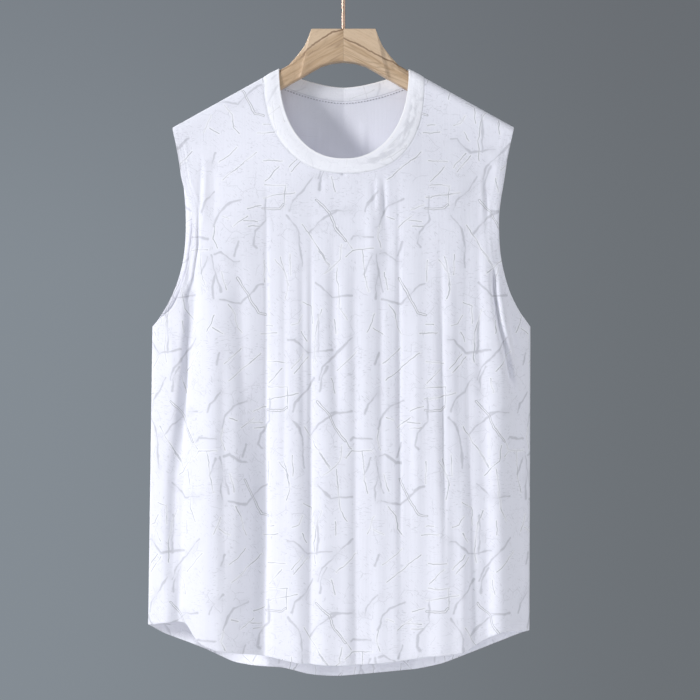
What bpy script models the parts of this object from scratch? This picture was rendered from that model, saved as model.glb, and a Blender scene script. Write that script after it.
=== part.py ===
"""A sleeveless T-shirt hanging on a wooden hanger, at its real size.

Metres, +Z up. The origin is the inside top of the hook, the front faces -Y and the arms lie along X.
"""

import math
from collections import namedtuple

import bmesh
import bpy
from mathutils import Vector

# Cloth
CLOTH_WALL = 0.0012  # one layer of the jersey
HEM_WALL = 0.0019  # the same cloth turned under and stitched
HEM_TURN = 0.013  # width of the turned edge at the hem
ARMHOLE_TURN = 0.010  # width of the turned edge at the armholes
BAND_WALL = 0.0020  # the neckband is folded double
SEAM_GAP = 0.0003

# Outline seen from the front. Heights are below the inside top of the hook.
RIDGE_PEAK = -0.1045  # where the two shoulder lines would meet
SHOULDER_SLOPE = 0.555  # fall for each metre outwards, 29 degrees
SHOULDER_HALF = 0.2020  # centre to shoulder tip
ACROSS_HALF = 0.1868  # narrowest place between the armholes, halved
ACROSS_Z = -0.3270
ARMPIT_Z = -0.4513
CHEST_HALF = 0.2232
HEM_HALF = 0.2252
HEM_SIDE_Z = -0.8080  # the hem at the side seams, between its two corners
ARMHOLE_TOP_POWER = 1.8
ARMHOLE_LOW_POWER = 2.4
SWAY_TOP = 0.0006  # the whole garment sits this far to the right at the neck
SWAY_FALL = 0.0088  # and moves left by this for each metre down

# Neck
NECK_HALF = 0.0950  # centre to the band's seam on the shoulder
BAND_HALF = 0.0765  # centre to the band's folded edge on the shoulder
NECK_ROUNDNESS = 2.3  # of the front: 2 is an ellipse, more is squarer
SEAM_ROUNDNESS = {-1: 2.2, 1: 2.55}  # the seam hangs fuller on the right
EDGE_ROUNDNESS = 2.2  # of the band's folded edge
BACK_NECK_CURVE = 1.75  # of the back: 1 is straight from shoulder to centre, 2 a parabola
BAND_LEAN = 0.94  # the band's folded edge leans in over the neck
BLOCK_PUSH = 0.12  # and stands off behind the lower corners of the hanger's block
BLOCK_CORNER = 0.0500  # centre to such a corner

# Depth
FALL_RADIUS = 0.01035  # the cloth bends over the hanger's arm on this radius
SIDE_POWER = 4.0  # how flat the body is between its rounded sides
SIDE_ROUND = 0.75
FOLD_TOP_Z = -0.235  # the hanging folds start here
FOLD_GROWTH = 0.430  # and are full this much lower
FOLD_FAN = 0.12  # the outer folds lean in towards the armpits by this share
FOLD_SHARPNESS = 0.6  # 0 rolls the valleys as softly as the ridges, 1 creases them

# Hanger
ARM_HALF_THICK = 0.0090
ARM_BELOW_CLOTH = 0.0017  # from the middle of the cloth to the wood
ARM_DEEP = 0.0210  # across the arm, square to its slope
ARM_REACH = 0.1930  # centre to the arm's tip
BLOCK_HALF_THICK = 0.0110
BLOCK_TOP = -0.1000
JOINT_HALF_GAP = 0.00015  # the two halves of the wood meet at the middle

# Hook
WIRE = 0.0042
HOOK_INNER_RADIUS = 0.0200
SHANK_TOP = -0.0630
SHANK_BOTTOM = -0.1300
SHANK_HOLE = 0.0024

PANEL_COLUMNS = {"front": 30, "back": 24}  # from the centre to one side
STRAP_ANGLES = {
    "front": (0, 0.4, 1.6, 4, 8, 14, 22, 32, 43, 55, 67, 79, 90),
    "back": (0, 0.4, 1.2, 2.6, 5, 9, 15, 25, 37, 50, 63, 77, 90),
}
ARMHOLE_STEPS = {
    "front": (0.20, 0.40, 0.56, 0.69, 0.80, 0.89, 0.96, 1),
    "back": (0.20, 0.38, 0.54, 0.67, 0.79, 0.90, 1),
}
BODY_STEPS = (0.14, 0.30, 0.48, 0.66, 0.83)

# How each panel is cut and hangs: its side of the hanger along Y, the depth of the body and the fall
# over which it swells to that, how far its neckline and the band's edge drop, how much of the armhole
# its strap has, and how far its armhole is set in on the left and on the right.
Side = namedtuple("Side", "sign depth swell neck_drop band_drop arm_drop inset_left inset_right")
SIDES = {
    "front": Side(-1, 0.0420, 0.160, 0.1160, 0.1084, 0.081, 0.0105, 0.0030),
    "back": Side(1, 0.0350, 0.170, 0.0260, 0.0200, 0.030, 0.0, 0.0),
}

# The curved hems, left to right: place from the left side seam (-1) to the right one (1), and height.
Hem = namedtuple("Hem", "across z")
HEMS = {
    "front": (
        Hem(-1.00, -0.8045),
        Hem(-0.90, -0.8004),
        Hem(-0.80, -0.8002),
        Hem(-0.765, -0.8105),
        Hem(-0.73, -0.8205),
        Hem(-0.65, -0.8292),
        Hem(-0.55, -0.8335),
        Hem(-0.37, -0.8394),
        Hem(-0.20, -0.8460),
        Hem(0.02, -0.8486),
        Hem(0.30, -0.8440),
        Hem(0.45, -0.8388),
        Hem(0.64, -0.8344),
        Hem(0.69, -0.8288),
        Hem(0.75, -0.8205),
        Hem(0.80, -0.8150),
        Hem(0.86, -0.8100),
        Hem(1.00, -0.8115),
    ),
    "back": (
        Hem(-1.00, -0.8045),
        Hem(-0.91, -0.8175),
        Hem(-0.74, -0.8325),
        Hem(-0.57, -0.8520),
        Hem(-0.48, -0.8560),
        Hem(-0.31, -0.8588),
        Hem(-0.15, -0.8680),
        Hem(0.03, -0.8684),
        Hem(0.20, -0.8664),
        Hem(0.37, -0.8615),
        Hem(0.54, -0.8552),
        Hem(0.62, -0.8490),
        Hem(0.71, -0.8400),
        Hem(0.80, -0.8305),
        Hem(0.88, -0.8235),
        Hem(1.00, -0.8115),
    ),
}

# Hanging folds, left to right: place across at the hem, and how far the cloth stands out of the plain
# body.
Fold = namedtuple("Fold", "across out")
FOLDS = {
    "front": (
        Fold(-0.2400, 0.000),
        Fold(-0.2120, 0.003),
        Fold(-0.1945, -0.007),
        Fold(-0.1585, 0.009),
        Fold(-0.0935, -0.015),
        Fold(-0.0560, -0.003),
        Fold(-0.0390, -0.009),
        Fold(-0.0205, -0.002),
        Fold(0.0130, -0.008),
        Fold(0.0290, -0.001),
        Fold(0.0665, -0.009),
        Fold(0.1060, 0.003),
        Fold(0.1500, -0.006),
        Fold(0.1840, 0.011),
        Fold(0.2130, 0.001),
        Fold(0.2400, 0.000),
    ),
    "back": (
        Fold(-0.2400, 0.000),
        Fold(-0.2050, 0.002),
        Fold(-0.1750, -0.006),
        Fold(-0.1350, 0.006),
        Fold(-0.0900, -0.009),
        Fold(-0.0450, 0.003),
        Fold(-0.0050, -0.008),
        Fold(0.0400, 0.004),
        Fold(0.0850, -0.009),
        Fold(0.1300, 0.005),
        Fold(0.1700, -0.006),
        Fold(0.2050, 0.004),
        Fold(0.2400, 0.000),
    ),
}

# Sections of the right half of the hanger: top and bottom edge, half thickness, roundness of the top
# corners.
WoodSection = namedtuple("WoodSection", "top_x top_z bottom_x bottom_z half corner")
BLOCK_SECTIONS = (
    WoodSection(JOINT_HALF_GAP, BLOCK_TOP, JOINT_HALF_GAP, -0.1385, BLOCK_HALF_THICK, 0.0018),
    WoodSection(0.0110, BLOCK_TOP, 0.0135, -0.1398, BLOCK_HALF_THICK, 0.0018),
    WoodSection(0.0210, BLOCK_TOP, 0.0265, -0.1437, BLOCK_HALF_THICK, 0.0018),
    WoodSection(0.0300, BLOCK_TOP, 0.0390, -0.1507, BLOCK_HALF_THICK, 0.0018),
    WoodSection(0.0378, BLOCK_TOP, 0.0510, -0.1581, BLOCK_HALF_THICK, 0.0018),
    WoodSection(0.0416, -0.1100, 0.0530, -0.1592, 0.0090, 0.0022),
    WoodSection(0.0461, -0.1200, 0.0560, -0.1609, 0.0082, 0.0030),
    WoodSection(0.0548, -0.1312, 0.0590, -0.1626, 0.0080, 0.0050),
    WoodSection(0.0650, -0.1422, 0.0620, -0.1643, 0.0083, 0.0070),
)
ARM_STATIONS = (0.076, 0.110, 0.150, 0.178, 0.188, ARM_REACH)
ARM_TIP_SHRINK = {0.188: 0.94, ARM_REACH: 0.72}
TOP_CORNER_STEPS = 4
BOTTOM_CORNER_STEPS = 2
BOTTOM_CORNER = 0.0025

# colour, roughness, metallic
FINISHES = {
    "cloth": ((0.86, 0.87, 0.92), 0.80, 0.0),
    "band": ((0.88, 0.89, 0.94), 0.82, 0.0),
    "wood": ((0.58, 0.42, 0.27), 0.55, 0.0),
    "metal": ((0.72, 0.50, 0.36), 0.25, 1.0),
}


def smooth(t):
    t = min(max(t, 0.0), 1.0)
    return t * t * (3 - 2 * t)


def ridge(x):
    """Height of the shoulder line above a place across."""
    return RIDGE_PEAK - SHOULDER_SLOPE * abs(x)


def sway(z):
    return SWAY_TOP - SWAY_FALL * (RIDGE_PEAK - z)


def edge_half(z):
    """From the centre to the garment's edge: the back's armhole or, lower down, the side seam."""
    if z <= ARMPIT_Z:
        return CHEST_HALF + (HEM_HALF - CHEST_HALF) * (ARMPIT_Z - z) / (ARMPIT_Z - HEM_SIDE_Z)
    if z >= ACROSS_Z:
        up = min((z - ACROSS_Z) / (ridge(SHOULDER_HALF) - ACROSS_Z), 1.0)
        return ACROSS_HALF + (SHOULDER_HALF - ACROSS_HALF) * up**ARMHOLE_TOP_POWER
    down = (ACROSS_Z - z) / (ACROSS_Z - ARMPIT_Z)
    return ACROSS_HALF + (CHEST_HALF - ACROSS_HALF) * down**ARMHOLE_LOW_POWER


def armhole_half(name, hand, z):
    """From the centre to a panel's own armhole edge, which is set in from the garment's edge."""
    inset = SIDES[name].inset_left if hand < 0 else SIDES[name].inset_right
    above = (z - ACROSS_Z) / (ridge(SHOULDER_HALF) - ACROSS_Z)
    above_armpit = (z - ARMPIT_Z) / (ACROSS_Z - ARMPIT_Z)
    return edge_half(z) - inset * smooth(1 - above / 0.5) * smooth(5 * above_armpit)


def fold_out(name, x, z):
    """How far the folds stand out at a place: soft over the ridges, tighter in the valleys."""
    table = FOLDS[name]
    above_hem = (z - HEM_SIDE_Z) / (FOLD_TOP_Z - HEM_SIDE_Z)
    x *= 1 + FOLD_FAN * (x / SHOULDER_HALF) ** 2 * above_hem
    for left, right in zip(table, table[1:]):
        if x <= right.across:
            t = (x - left.across) / (right.across - left.across)
            valley, ridge_row = (left, right) if left.out < right.out else (right, left)
            t = t if valley is left else 1 - t
            soft = 0.5 - 0.5 * math.cos(math.pi * t)
            creased = math.sin(math.pi * t / 2)
            t = soft + (creased - soft) * FOLD_SHARPNESS
            return valley.out + (ridge_row.out - valley.out) * t
    return 0.0


def depth(name, x, z):
    """How far the middle of the cloth is from the plane of the hanger."""
    side = SIDES[name]
    fall = max(ridge(x) - z, 0.0)
    over = FALL_RADIUS * math.sqrt(max(0.0, 1 - (1 - min(fall / FALL_RADIUS, 1.0)) ** 2))
    body_half = edge_half(min(z, ARMPIT_Z))
    across = min(abs(x - sway(z)) / body_half, 1.0)
    body = side.depth * (1 - across**SIDE_POWER) ** SIDE_ROUND
    grown = smooth((FOLD_TOP_Z - z) / FOLD_GROWTH) * (1 - across**16)
    return over + (body - FALL_RADIUS) * smooth(fall / side.swell) + grown * fold_out(name, x, z)


def point_at(name, x, z):
    return Vector((x, SIDES[name].sign * max(depth(name, x, z), SEAM_GAP / 2), z))


def neck_edge(name, half, drop, hand, angle, roundness=None):
    """(x, z) on a neckline, at an angle from 0 on the shoulder line to 90 at the centre."""
    centre = SWAY_TOP
    down = math.sin(math.radians(angle)) ** (2 / NECK_ROUNDNESS)
    roundness = roundness or SEAM_ROUNDNESS[hand]
    reach = (1 - down**roundness) ** (1 / roundness)
    if name == "back":
        reach = (1 - down) ** (1 / BACK_NECK_CURVE)
    start_z = ridge(centre + hand * half)
    middle_z = ridge(half) - drop
    return centre + hand * half * reach, start_z + (middle_z - start_z) * down


def hem_z(name, across):
    """Height of the hem, on a smooth curve through the rows of its table."""
    table = HEMS[name]
    last = len(table) - 1
    across = min(max(across, -1.0), 1.0)
    i = 0
    while i < last - 1 and across > table[i + 1].across:
        i += 1
    before, low, high, after = (table[min(max(k, 0), last)] for k in (i - 1, i, i + 1, i + 2))
    gap = high.across - low.across
    t = (across - low.across) / gap
    slope_low = (high.z - before.z) / (high.across - before.across) * gap
    slope_high = (after.z - low.z) / (after.across - low.across) * gap
    return (
        low.z * (2 * t**3 - 3 * t**2 + 1)
        + slope_low * (t**3 - 2 * t**2 + t)
        + high.z * (3 * t**2 - 2 * t**3)
        + slope_high * (t**3 - t**2)
    )


def spaced(step, count):
    """Places from the centre (0) to the side (1), closer together near the side."""
    t = step / count
    return 0.62 * t + 0.38 * math.sin(math.pi * t / 2)


def strap_row(name, hand, angle, places):
    """One row from the neckline to the armhole's edge."""
    side = SIDES[name]
    neck_x, neck_z = neck_edge(name, NECK_HALF, side.neck_drop, hand, angle)
    down = math.sin(math.radians(angle)) ** (2 / NECK_ROUNDNESS)
    tip_x = sway(ridge(SHOULDER_HALF)) + hand * SHOULDER_HALF
    arm_z = ridge(tip_x) - side.arm_drop * down
    arm_x = sway(arm_z) * down + (tip_x - hand * SHOULDER_HALF) * (1 - down)
    arm_x += hand * armhole_half(name, hand, arm_z)
    row = []
    for place in places:
        x = neck_x + (arm_x - neck_x) * place
        z = neck_z + (arm_z - neck_z) * place
        row.append(point_at(name, x, z))
    return row


def body_row(name, hand, top_row, share, places):
    """One row from the centre to the side. share runs from the straps (0) to the hem (1)."""
    row = []
    straight = armhole_half(name, hand, top_row[-1].z)
    for place, top in zip(places, top_row):
        at_hem = (straight * place + (HEM_HALF - straight) * place**5) / HEM_HALF
        z = top.z + (hem_z(name, hand * at_hem) - top.z) * share
        reach = armhole_half(name, hand, z)
        across = straight * place + (reach - straight) * place**5
        row.append(point_at(name, sway(z) + hand * across, z))
    return row


def panel_rows(name, hand):
    """The rows of one half of a panel, and how many of them belong to the strap."""
    count = PANEL_COLUMNS[name]
    places = [spaced(i, count) for i in range(count + 1)]
    rows = [strap_row(name, hand, angle, places) for angle in STRAP_ANGLES[name]]
    straps = len(rows)
    top = rows[-1]
    side_length = top[-1].z - hem_z(name, hand)
    armpit = (top[-1].z - ARMPIT_Z) / side_length
    turn = 1 - HEM_TURN / side_length
    shares = [armpit * step for step in ARMHOLE_STEPS[name]]
    shares += [armpit + (turn - armpit) * step for step in BODY_STEPS]
    shares += [turn - 0.002 / side_length, turn, 1.0]
    rows += [body_row(name, hand, top, share, places) for share in shares]
    return rows, straps


def new_object(name, mesh, finish):
    obj = bpy.data.objects.new(name, mesh)
    garment.objects.link(obj)
    colour, roughness, metallic = FINISHES[finish]
    material = bpy.data.materials.new(f"{name}_{finish}")
    material.use_nodes = True
    shader = material.node_tree.nodes["Principled BSDF"]
    shader.inputs["Base Color"].default_value = (*colour, 1)
    shader.inputs["Roughness"].default_value = roughness
    shader.inputs["Metallic"].default_value = metallic
    mesh.materials.append(material)
    return obj


def wall(name, points, faces, fixed_normals, outer, inner, finish):
    """A closed wall on an open surface. outer and inner say how far its sides are from a point."""
    surface = bmesh.new()
    verts = [surface.verts.new(p) for p in points]
    for face in faces:
        surface.faces.new([verts[i] for i in face])
    surface.verts.index_update()
    surface.normal_update()
    normals = [fixed_normals.get(i, v.normal.copy()) for i, v in enumerate(verts)]
    rims = [
        [loop.vert.index for loop in (edge.link_loops[0], edge.link_loops[0].link_loop_next)]
        for edge in surface.edges
        if len(edge.link_loops) == 1
    ]
    surface.free()

    count = len(points)
    both = [p + n * outer(p) for p, n in zip(points, normals)]
    both += [p - n * inner(p) for p, n in zip(points, normals)]
    closed = [tuple(face) for face in faces]
    closed += [tuple(i + count for i in reversed(face)) for face in faces]
    closed += [(b, a, a + count, b + count) for a, b in rims]
    mesh = bpy.data.meshes.new(name)
    mesh.from_pydata(both, [], closed)
    mesh.shade_smooth()
    mesh.set_sharp_from_angle(angle=math.radians(60))
    return new_object(name, mesh, finish)


def turned_under(name):
    """The inner side's distance: thicker where the hem or the armhole's edge is turned under."""

    def inner(p):
        z = p.z
        hand = 1 if p.x > sway(z) else -1
        above_hem = z - hem_z(name, (p.x - sway(z)) / edge_half(min(z, ARMPIT_Z)))
        from_armhole = armhole_half(name, hand, z) - abs(p.x - sway(z))
        at_hem = above_hem < HEM_TURN + 0.001
        at_armhole = ARMPIT_Z < z < ridge(p.x) - 2 * FALL_RADIUS and from_armhole < ARMHOLE_TURN
        return HEM_WALL - CLOTH_WALL / 2 if at_hem or at_armhole else CLOTH_WALL / 2

    return inner


def build_panel(name):
    """A front or back panel: two straps that join below the neckline, down to the curved hem."""
    left, straps = panel_rows(name, -1)
    right, _ = panel_rows(name, 1)
    points = []
    fixed = {}
    index = {}
    for hand, rows in ((-1, left), (1, right)):
        for r, row in enumerate(rows):
            for c, point in enumerate(row):
                if hand > 0 and c == 0 and r >= straps - 1:
                    index[hand, r, c] = index[-1, r, 0]
                    continue
                index[hand, r, c] = len(points)
                if r == 0:
                    slope = Vector((hand * SHOULDER_SLOPE, 0, 1)).normalized()
                    fixed[len(points)] = slope
                elif c == len(row) - 1 and point.z <= ARMPIT_Z + 1e-6:
                    fixed[len(points)] = Vector((hand, 0, 0))
                points.append(point)
    faces = []
    for hand, rows in ((-1, left), (1, right)):
        for r in range(len(rows) - 1):
            for c in range(len(rows[0]) - 1):
                face = [(r, c), (r + 1, c), (r + 1, c + 1), (r, c + 1)]
                if hand * SIDES[name].sign > 0:
                    face.reverse()
                faces.append([index[(hand, *corner)] for corner in face])
    return wall(
        f"{name}_panel",
        points,
        faces,
        fixed,
        lambda p: CLOTH_WALL / 2,
        turned_under(name),
        "cloth",
    )


def build_neckband():
    """The folded band round the neck, from its seam on both panels to its folded edge."""
    across_steps = 4
    stations = []
    for name, hand, angles in (
        ("front", 1, STRAP_ANGLES["front"]),
        ("front", -1, STRAP_ANGLES["front"][-2::-1]),
        ("back", -1, STRAP_ANGLES["back"][1:]),
        ("back", 1, STRAP_ANGLES["back"][-2:0:-1]),
    ):
        stations += [(name, hand, angle) for angle in angles]
    points = []
    for name, hand, angle in stations:
        seam_x, seam_z = neck_edge(name, NECK_HALF, SIDES[name].neck_drop, hand, angle)
        band_drop = SIDES[name].band_drop
        edge_x, edge_z = neck_edge(name, BAND_HALF, band_drop, hand, angle, EDGE_ROUNDNESS)
        seam = point_at(name, seam_x, seam_z)
        edge = point_at(name, edge_x, edge_z)
        if angle == 0:
            seam.y = edge.y = 0.0
        lean = 1 - (1 - BAND_LEAN) * smooth(angle / 60)
        if name == "back":
            lean += BLOCK_PUSH * smooth(1 - abs(abs(edge_x) - BLOCK_CORNER) / 0.016)
        edge.y *= lean
        start = SEAM_GAP * 1.6 / (edge - seam).length
        for step in range(across_steps + 1):
            share = start + (1 - start) * step / across_steps
            flat = seam.lerp(edge, share)
            if step < across_steps:
                onto = point_at(name, flat.x, flat.z)
                flat.y = onto.y * (1 - (1 - lean) * share) if angle else 0.0
            points.append(flat)
    ring = len(stations)
    wide = across_steps + 1
    faces = []
    for i in range(ring):
        j = (i + 1) % ring
        for k in range(across_steps):
            faces.append([i * wide + k, i * wide + k + 1, j * wide + k + 1, j * wide + k])
    return wall(
        "neckband",
        points,
        faces,
        {},
        lambda p: BAND_WALL / 2,
        lambda p: BAND_WALL / 2,
        "band",
    )


def wood_sections():
    """The sections of the right half, from the joint in the middle to the arm's tip."""
    sections = list(BLOCK_SECTIONS)
    slope = math.atan(SHOULDER_SLOPE)
    down = Vector((-math.sin(slope), -math.cos(slope)))
    for x in ARM_STATIONS:
        shrink = ARM_TIP_SHRINK.get(x, 1.0)
        top = Vector((x, ridge(x) - ARM_BELOW_CLOTH))
        middle = top + down * ARM_DEEP / 2
        top, bottom = (middle - down * ARM_DEEP / 2 * shrink, middle + down * ARM_DEEP / 2 * shrink)
        half = ARM_HALF_THICK * shrink
        sections.append(WoodSection(top.x, top.y, bottom.x, bottom.y, half, half * 0.98))
    return sections


def wood_ring(section):
    """Points round one section, with rounded corners, as seen from the arm's tip."""
    top = Vector((section.top_x, 0, section.top_z))
    bottom = Vector((section.bottom_x, 0, section.bottom_z))
    down = (bottom - top).normalized()
    deep = (bottom - top).length
    across = Vector((0, 1, 0))
    corners = (
        (-1, section.corner, section.corner, TOP_CORNER_STEPS, 180, 90),
        (1, section.corner, section.corner, TOP_CORNER_STEPS, 90, 0),
        (1, BOTTOM_CORNER, deep - BOTTOM_CORNER, BOTTOM_CORNER_STEPS, 0, -90),
        (-1, BOTTOM_CORNER, deep - BOTTOM_CORNER, BOTTOM_CORNER_STEPS, -90, -180),
    )
    ring = []
    for hand, radius, centre_down, steps, first, last in corners:
        centre = top + down * centre_down + across * hand * (section.half - radius)
        for step in range(steps + 1):
            angle = math.radians(first + (last - first) * step / steps)
            ring.append(centre + (across * math.cos(angle) - down * math.sin(angle)) * radius)
    return ring


def build_arm(name, hand):
    """One half of the wooden hanger, cut round the hook's shank."""
    rings = [wood_ring(section) for section in wood_sections()]
    size = len(rings[0])
    points = [Vector((hand * p.x, p.y, p.z)) for ring in rings for p in ring]
    faces = [list(range(size)), [len(points) - 1 - i for i in range(size)]]
    for r in range(len(rings) - 1):
        for k in range(size):
            n = (k + 1) % size
            faces.append([r * size + k, (r + 1) * size + k, (r + 1) * size + n, r * size + n])
    mesh = bpy.data.meshes.new(name)
    mesh.from_pydata(points, [], faces)
    tidy = bmesh.new()
    tidy.from_mesh(mesh)
    bmesh.ops.remove_doubles(tidy, verts=tidy.verts, dist=0.00002)
    bmesh.ops.recalc_face_normals(tidy, faces=tidy.faces)
    tidy.to_mesh(mesh)
    tidy.free()
    mesh.shade_smooth()
    mesh.set_sharp_from_angle(angle=math.radians(35))
    arm = new_object(name, mesh, "wood")
    cut = arm.modifiers.new("shank_hole", "BOOLEAN")
    cut.operation = "DIFFERENCE"
    cut.object = shank_cutter
    return arm


def build_shank_cutter():
    top = BLOCK_TOP + 0.010
    bottom = SHANK_BOTTOM - SEAM_GAP
    bpy.ops.mesh.primitive_cylinder_add(
        vertices=16,
        radius=SHANK_HOLE,
        depth=top - bottom,
        location=(0, 0, (top + bottom) / 2),
    )
    cutter = bpy.context.object
    cutter.name = "shank_cutter"
    for collection in cutter.users_collection:
        collection.objects.unlink(cutter)
    cutters.objects.link(cutter)
    cutter.hide_render = True
    cutter.display_type = "WIRE"
    return cutter


def hook_line():
    """The middle of the wire: up the shank, out to the right, over the top and down on the left."""
    bend = HOOK_INNER_RADIUS + WIRE / 2
    centre_z = -HOOK_INNER_RADIUS
    line = [Vector((0, 0, SHANK_BOTTOM)), Vector((0, 0, BLOCK_TOP)), Vector((0, 0, SHANK_TOP))]
    steps = 10
    for i in range(1, steps):
        t = i / steps
        x = bend * smooth(t)
        z = SHANK_TOP + (centre_z - SHANK_TOP) * (t * 0.85 + 0.15 * t * t)
        line.append(Vector((x, 0, z)))
    arc_end = 205
    arc_steps = 24
    for i in range(arc_steps + 1):
        angle = math.radians(arc_end * i / arc_steps)
        line.append(Vector((bend * math.cos(angle), 0, centre_z + bend * math.sin(angle))))
    return line


def build_hook():
    curve = bpy.data.curves.new("hanger_hook", "CURVE")
    curve.dimensions = "3D"
    curve.bevel_depth = WIRE / 2
    curve.bevel_resolution = 2
    curve.use_fill_caps = True
    line = hook_line()
    spline = curve.splines.new("POLY")
    spline.points.add(len(line) - 1)
    for point, place in zip(spline.points, line):
        point.co = (*place, 1)
    return new_object("hanger_hook", curve, "metal")


for leftover in list(bpy.data.objects):
    bpy.data.objects.remove(leftover)
garment = bpy.data.collections.new("sleeveless_t_shirt")
cutters = bpy.data.collections.new("cutters")
bpy.context.scene.collection.children.link(garment)
bpy.context.scene.collection.children.link(cutters)

shank_cutter = build_shank_cutter()
build_panel("front")
build_panel("back")
build_neckband()
build_arm("hanger_left", -1)
build_arm("hanger_right", 1)
build_hook()
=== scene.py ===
import math
from collections import namedtuple

import bmesh
import bpy
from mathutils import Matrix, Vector, noise


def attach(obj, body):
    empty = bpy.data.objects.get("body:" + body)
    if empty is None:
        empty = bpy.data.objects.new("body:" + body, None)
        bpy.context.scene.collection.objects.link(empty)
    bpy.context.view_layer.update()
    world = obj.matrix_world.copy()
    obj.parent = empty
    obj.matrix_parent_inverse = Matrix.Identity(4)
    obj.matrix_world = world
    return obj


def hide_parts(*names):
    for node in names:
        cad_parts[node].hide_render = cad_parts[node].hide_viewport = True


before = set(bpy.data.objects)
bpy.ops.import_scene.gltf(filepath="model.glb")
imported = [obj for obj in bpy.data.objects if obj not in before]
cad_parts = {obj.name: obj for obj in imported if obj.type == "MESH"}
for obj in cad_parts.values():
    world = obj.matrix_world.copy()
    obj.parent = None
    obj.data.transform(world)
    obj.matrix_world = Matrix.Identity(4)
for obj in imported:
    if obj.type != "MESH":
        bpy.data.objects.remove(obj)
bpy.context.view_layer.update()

scene = bpy.context.scene
print("frame loaded")


# Shader helpers
class Socket:
    # wraps an output, so that shader maths reads as Python
    def __init__(self, finish, socket):
        self.finish = finish
        self.socket = socket

    def math(self, operation, *values, clamp=False):
        settings = {"operation": operation, "use_clamp": clamp}
        return self.finish.node("ShaderNodeMath", settings, dict(enumerate(values)))

    def vector(self, operation, *values, output="Vector"):
        sockets = dict(enumerate((self, *values)))
        return self.finish.node("ShaderNodeVectorMath", {"operation": operation}, sockets, output)

    def __add__(self, other):
        return self.math("ADD", self, other)

    def __radd__(self, other):
        return self.math("ADD", other, self)

    def __sub__(self, other):
        return self.math("SUBTRACT", self, other)

    def __rsub__(self, other):
        return self.math("SUBTRACT", other, self)

    def __mul__(self, other):
        return self.math("MULTIPLY", self, other)

    def __rmul__(self, other):
        return self.math("MULTIPLY", other, self)

    def __truediv__(self, other):
        return self.math("DIVIDE", self, other)

    def __pow__(self, other):
        return self.math("POWER", self, other)

    def along(self, direction):
        # a fixed direction, as long as this value says
        settings = {"operation": "SCALE"}
        sockets = {"Vector": tuple(direction), "Scale": self}
        return self.finish.node("ShaderNodeVectorMath", settings, sockets)

    def clamped(self):
        return self.math("ADD", self, 0.0, clamp=True)

    def least(self, other):
        return self.math("MINIMUM", self, other)

    def most(self, other):
        return self.math("MAXIMUM", self, other)

    def size(self):
        return self.math("ABSOLUTE", self)

    def cosine(self):
        return self.math("COSINE", self)

    def step(self, low, high):
        # 0 at low, 1 at high, soft between them; low may be the greater
        settings = {"interpolation_type": "SMOOTHSTEP", "clamp": True}
        sockets = {"Value": self, "From Min": low, "From Max": high}
        return self.finish.node("ShaderNodeMapRange", settings, sockets)


class Finish:
    # the nodes of a material, or of the world
    def __init__(self, name, kind=bpy.data.materials):
        self.owner = kind.new(name)
        self.owner.use_nodes = True
        self.tree = self.owner.node_tree

    def node(self, kind, settings=None, sockets=None, output=0):
        made = self.tree.nodes.new(kind)
        for key, value in (settings or {}).items():
            setattr(made, key, value)
        for key, value in (sockets or {}).items():
            self.feed(made.inputs[key], value)
        return Socket(self, made.outputs[output])

    def feed(self, target, value):
        if isinstance(value, Socket):
            self.tree.links.new(value.socket, target)
        elif target.type == "RGBA":
            target.default_value = (*value, 1)
        elif target.type == "VECTOR" and not hasattr(value, "__len__"):
            target.default_value = (value, value, value)
        else:
            target.default_value = value

    def mix(self, factor, first, second):
        settings = {"data_type": "RGBA"}
        return self.node("ShaderNodeMix", settings, {0: factor, 6: first, 7: second}, 2)

    def noise(self, place, scale, detail=2.0, roughness=0.5, output="Fac"):
        sockets = {"Vector": place, "Scale": scale, "Detail": detail, "Roughness": roughness}
        return self.node("ShaderNodeTexNoise", {}, sockets, output)

    def stretched(self, place, x, y, z):
        return place.vector("MULTIPLY", (x, y, z))

    def parts(self, place):
        made = self.node("ShaderNodeSeparateXYZ", {}, {0: place})
        outputs = made.socket.node.outputs
        return [Socket(self, outputs[i]) for i in range(3)]

    def bump(self, height, strength=1.0, normal=None):
        # height is in metres
        sockets = {"Height": height, "Distance": 1.0, "Strength": strength}
        if normal:
            sockets["Normal"] = normal
        return self.node("ShaderNodeBump", {}, sockets)

    def set(self, shader="Principled BSDF", **sockets):
        inputs = self.tree.nodes[shader].inputs
        for key, value in sockets.items():
            self.feed(inputs[key.replace("_", " ")], value)


# The garment's form in metres, the same sizes as the frame's solids
outline = {
    "ridgePeak": -0.1045,  # where the two shoulder lines would meet
    "shoulderSlope": 0.555,
    "shoulderHalf": 0.2020,
    "acrossHalf": 0.1868,  # narrowest place between the armholes, halved
    "acrossZ": -0.3270,
    "armpitZ": -0.4513,
    "chestHalf": 0.2232,
    "hemHalf": 0.2252,
    "hemSideZ": -0.8080,
    "armholeTopPower": 1.8,
    "armholeLowPower": 2.4,
    "swayTop": 0.0006,
    "swayFall": 0.0088,
}
neckForm = {
    "seamHalf": 0.0950,
    "edgeHalf": 0.0765,
    "roundness": 2.3,  # of the front: 2 is an ellipse, more is squarer
    "seamRoundness": {-1: 2.2, 1: 2.55},  # the seam hangs fuller on the right
    "edgeRoundness": 2.2,  # of the band's folded edge
    "backCurve": 1.75,  # of the back: 1 is straight from shoulder to centre
    "lean": 0.94,
    "blockPush": 0.12,  # the back stands off behind the corners of the hanger's block
    "blockCorner": 0.0500,
    "blockFade": 0.016,
}
bodyForm = {
    "fallRadius": 0.01035,  # the cloth bends over the hanger's arm on this radius
    "sidePower": 4.0,
    "sideRound": 0.75,
    "foldTopZ": -0.235,
    "foldGrowth": 0.430,
    "foldFan": 0.12,
    "foldSharpness": 0.6,
    "seamGap": 0.0003,
}
Side = namedtuple("Side", "sign depth swell neckDrop bandDrop armDrop insetLeft insetRight")
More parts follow.
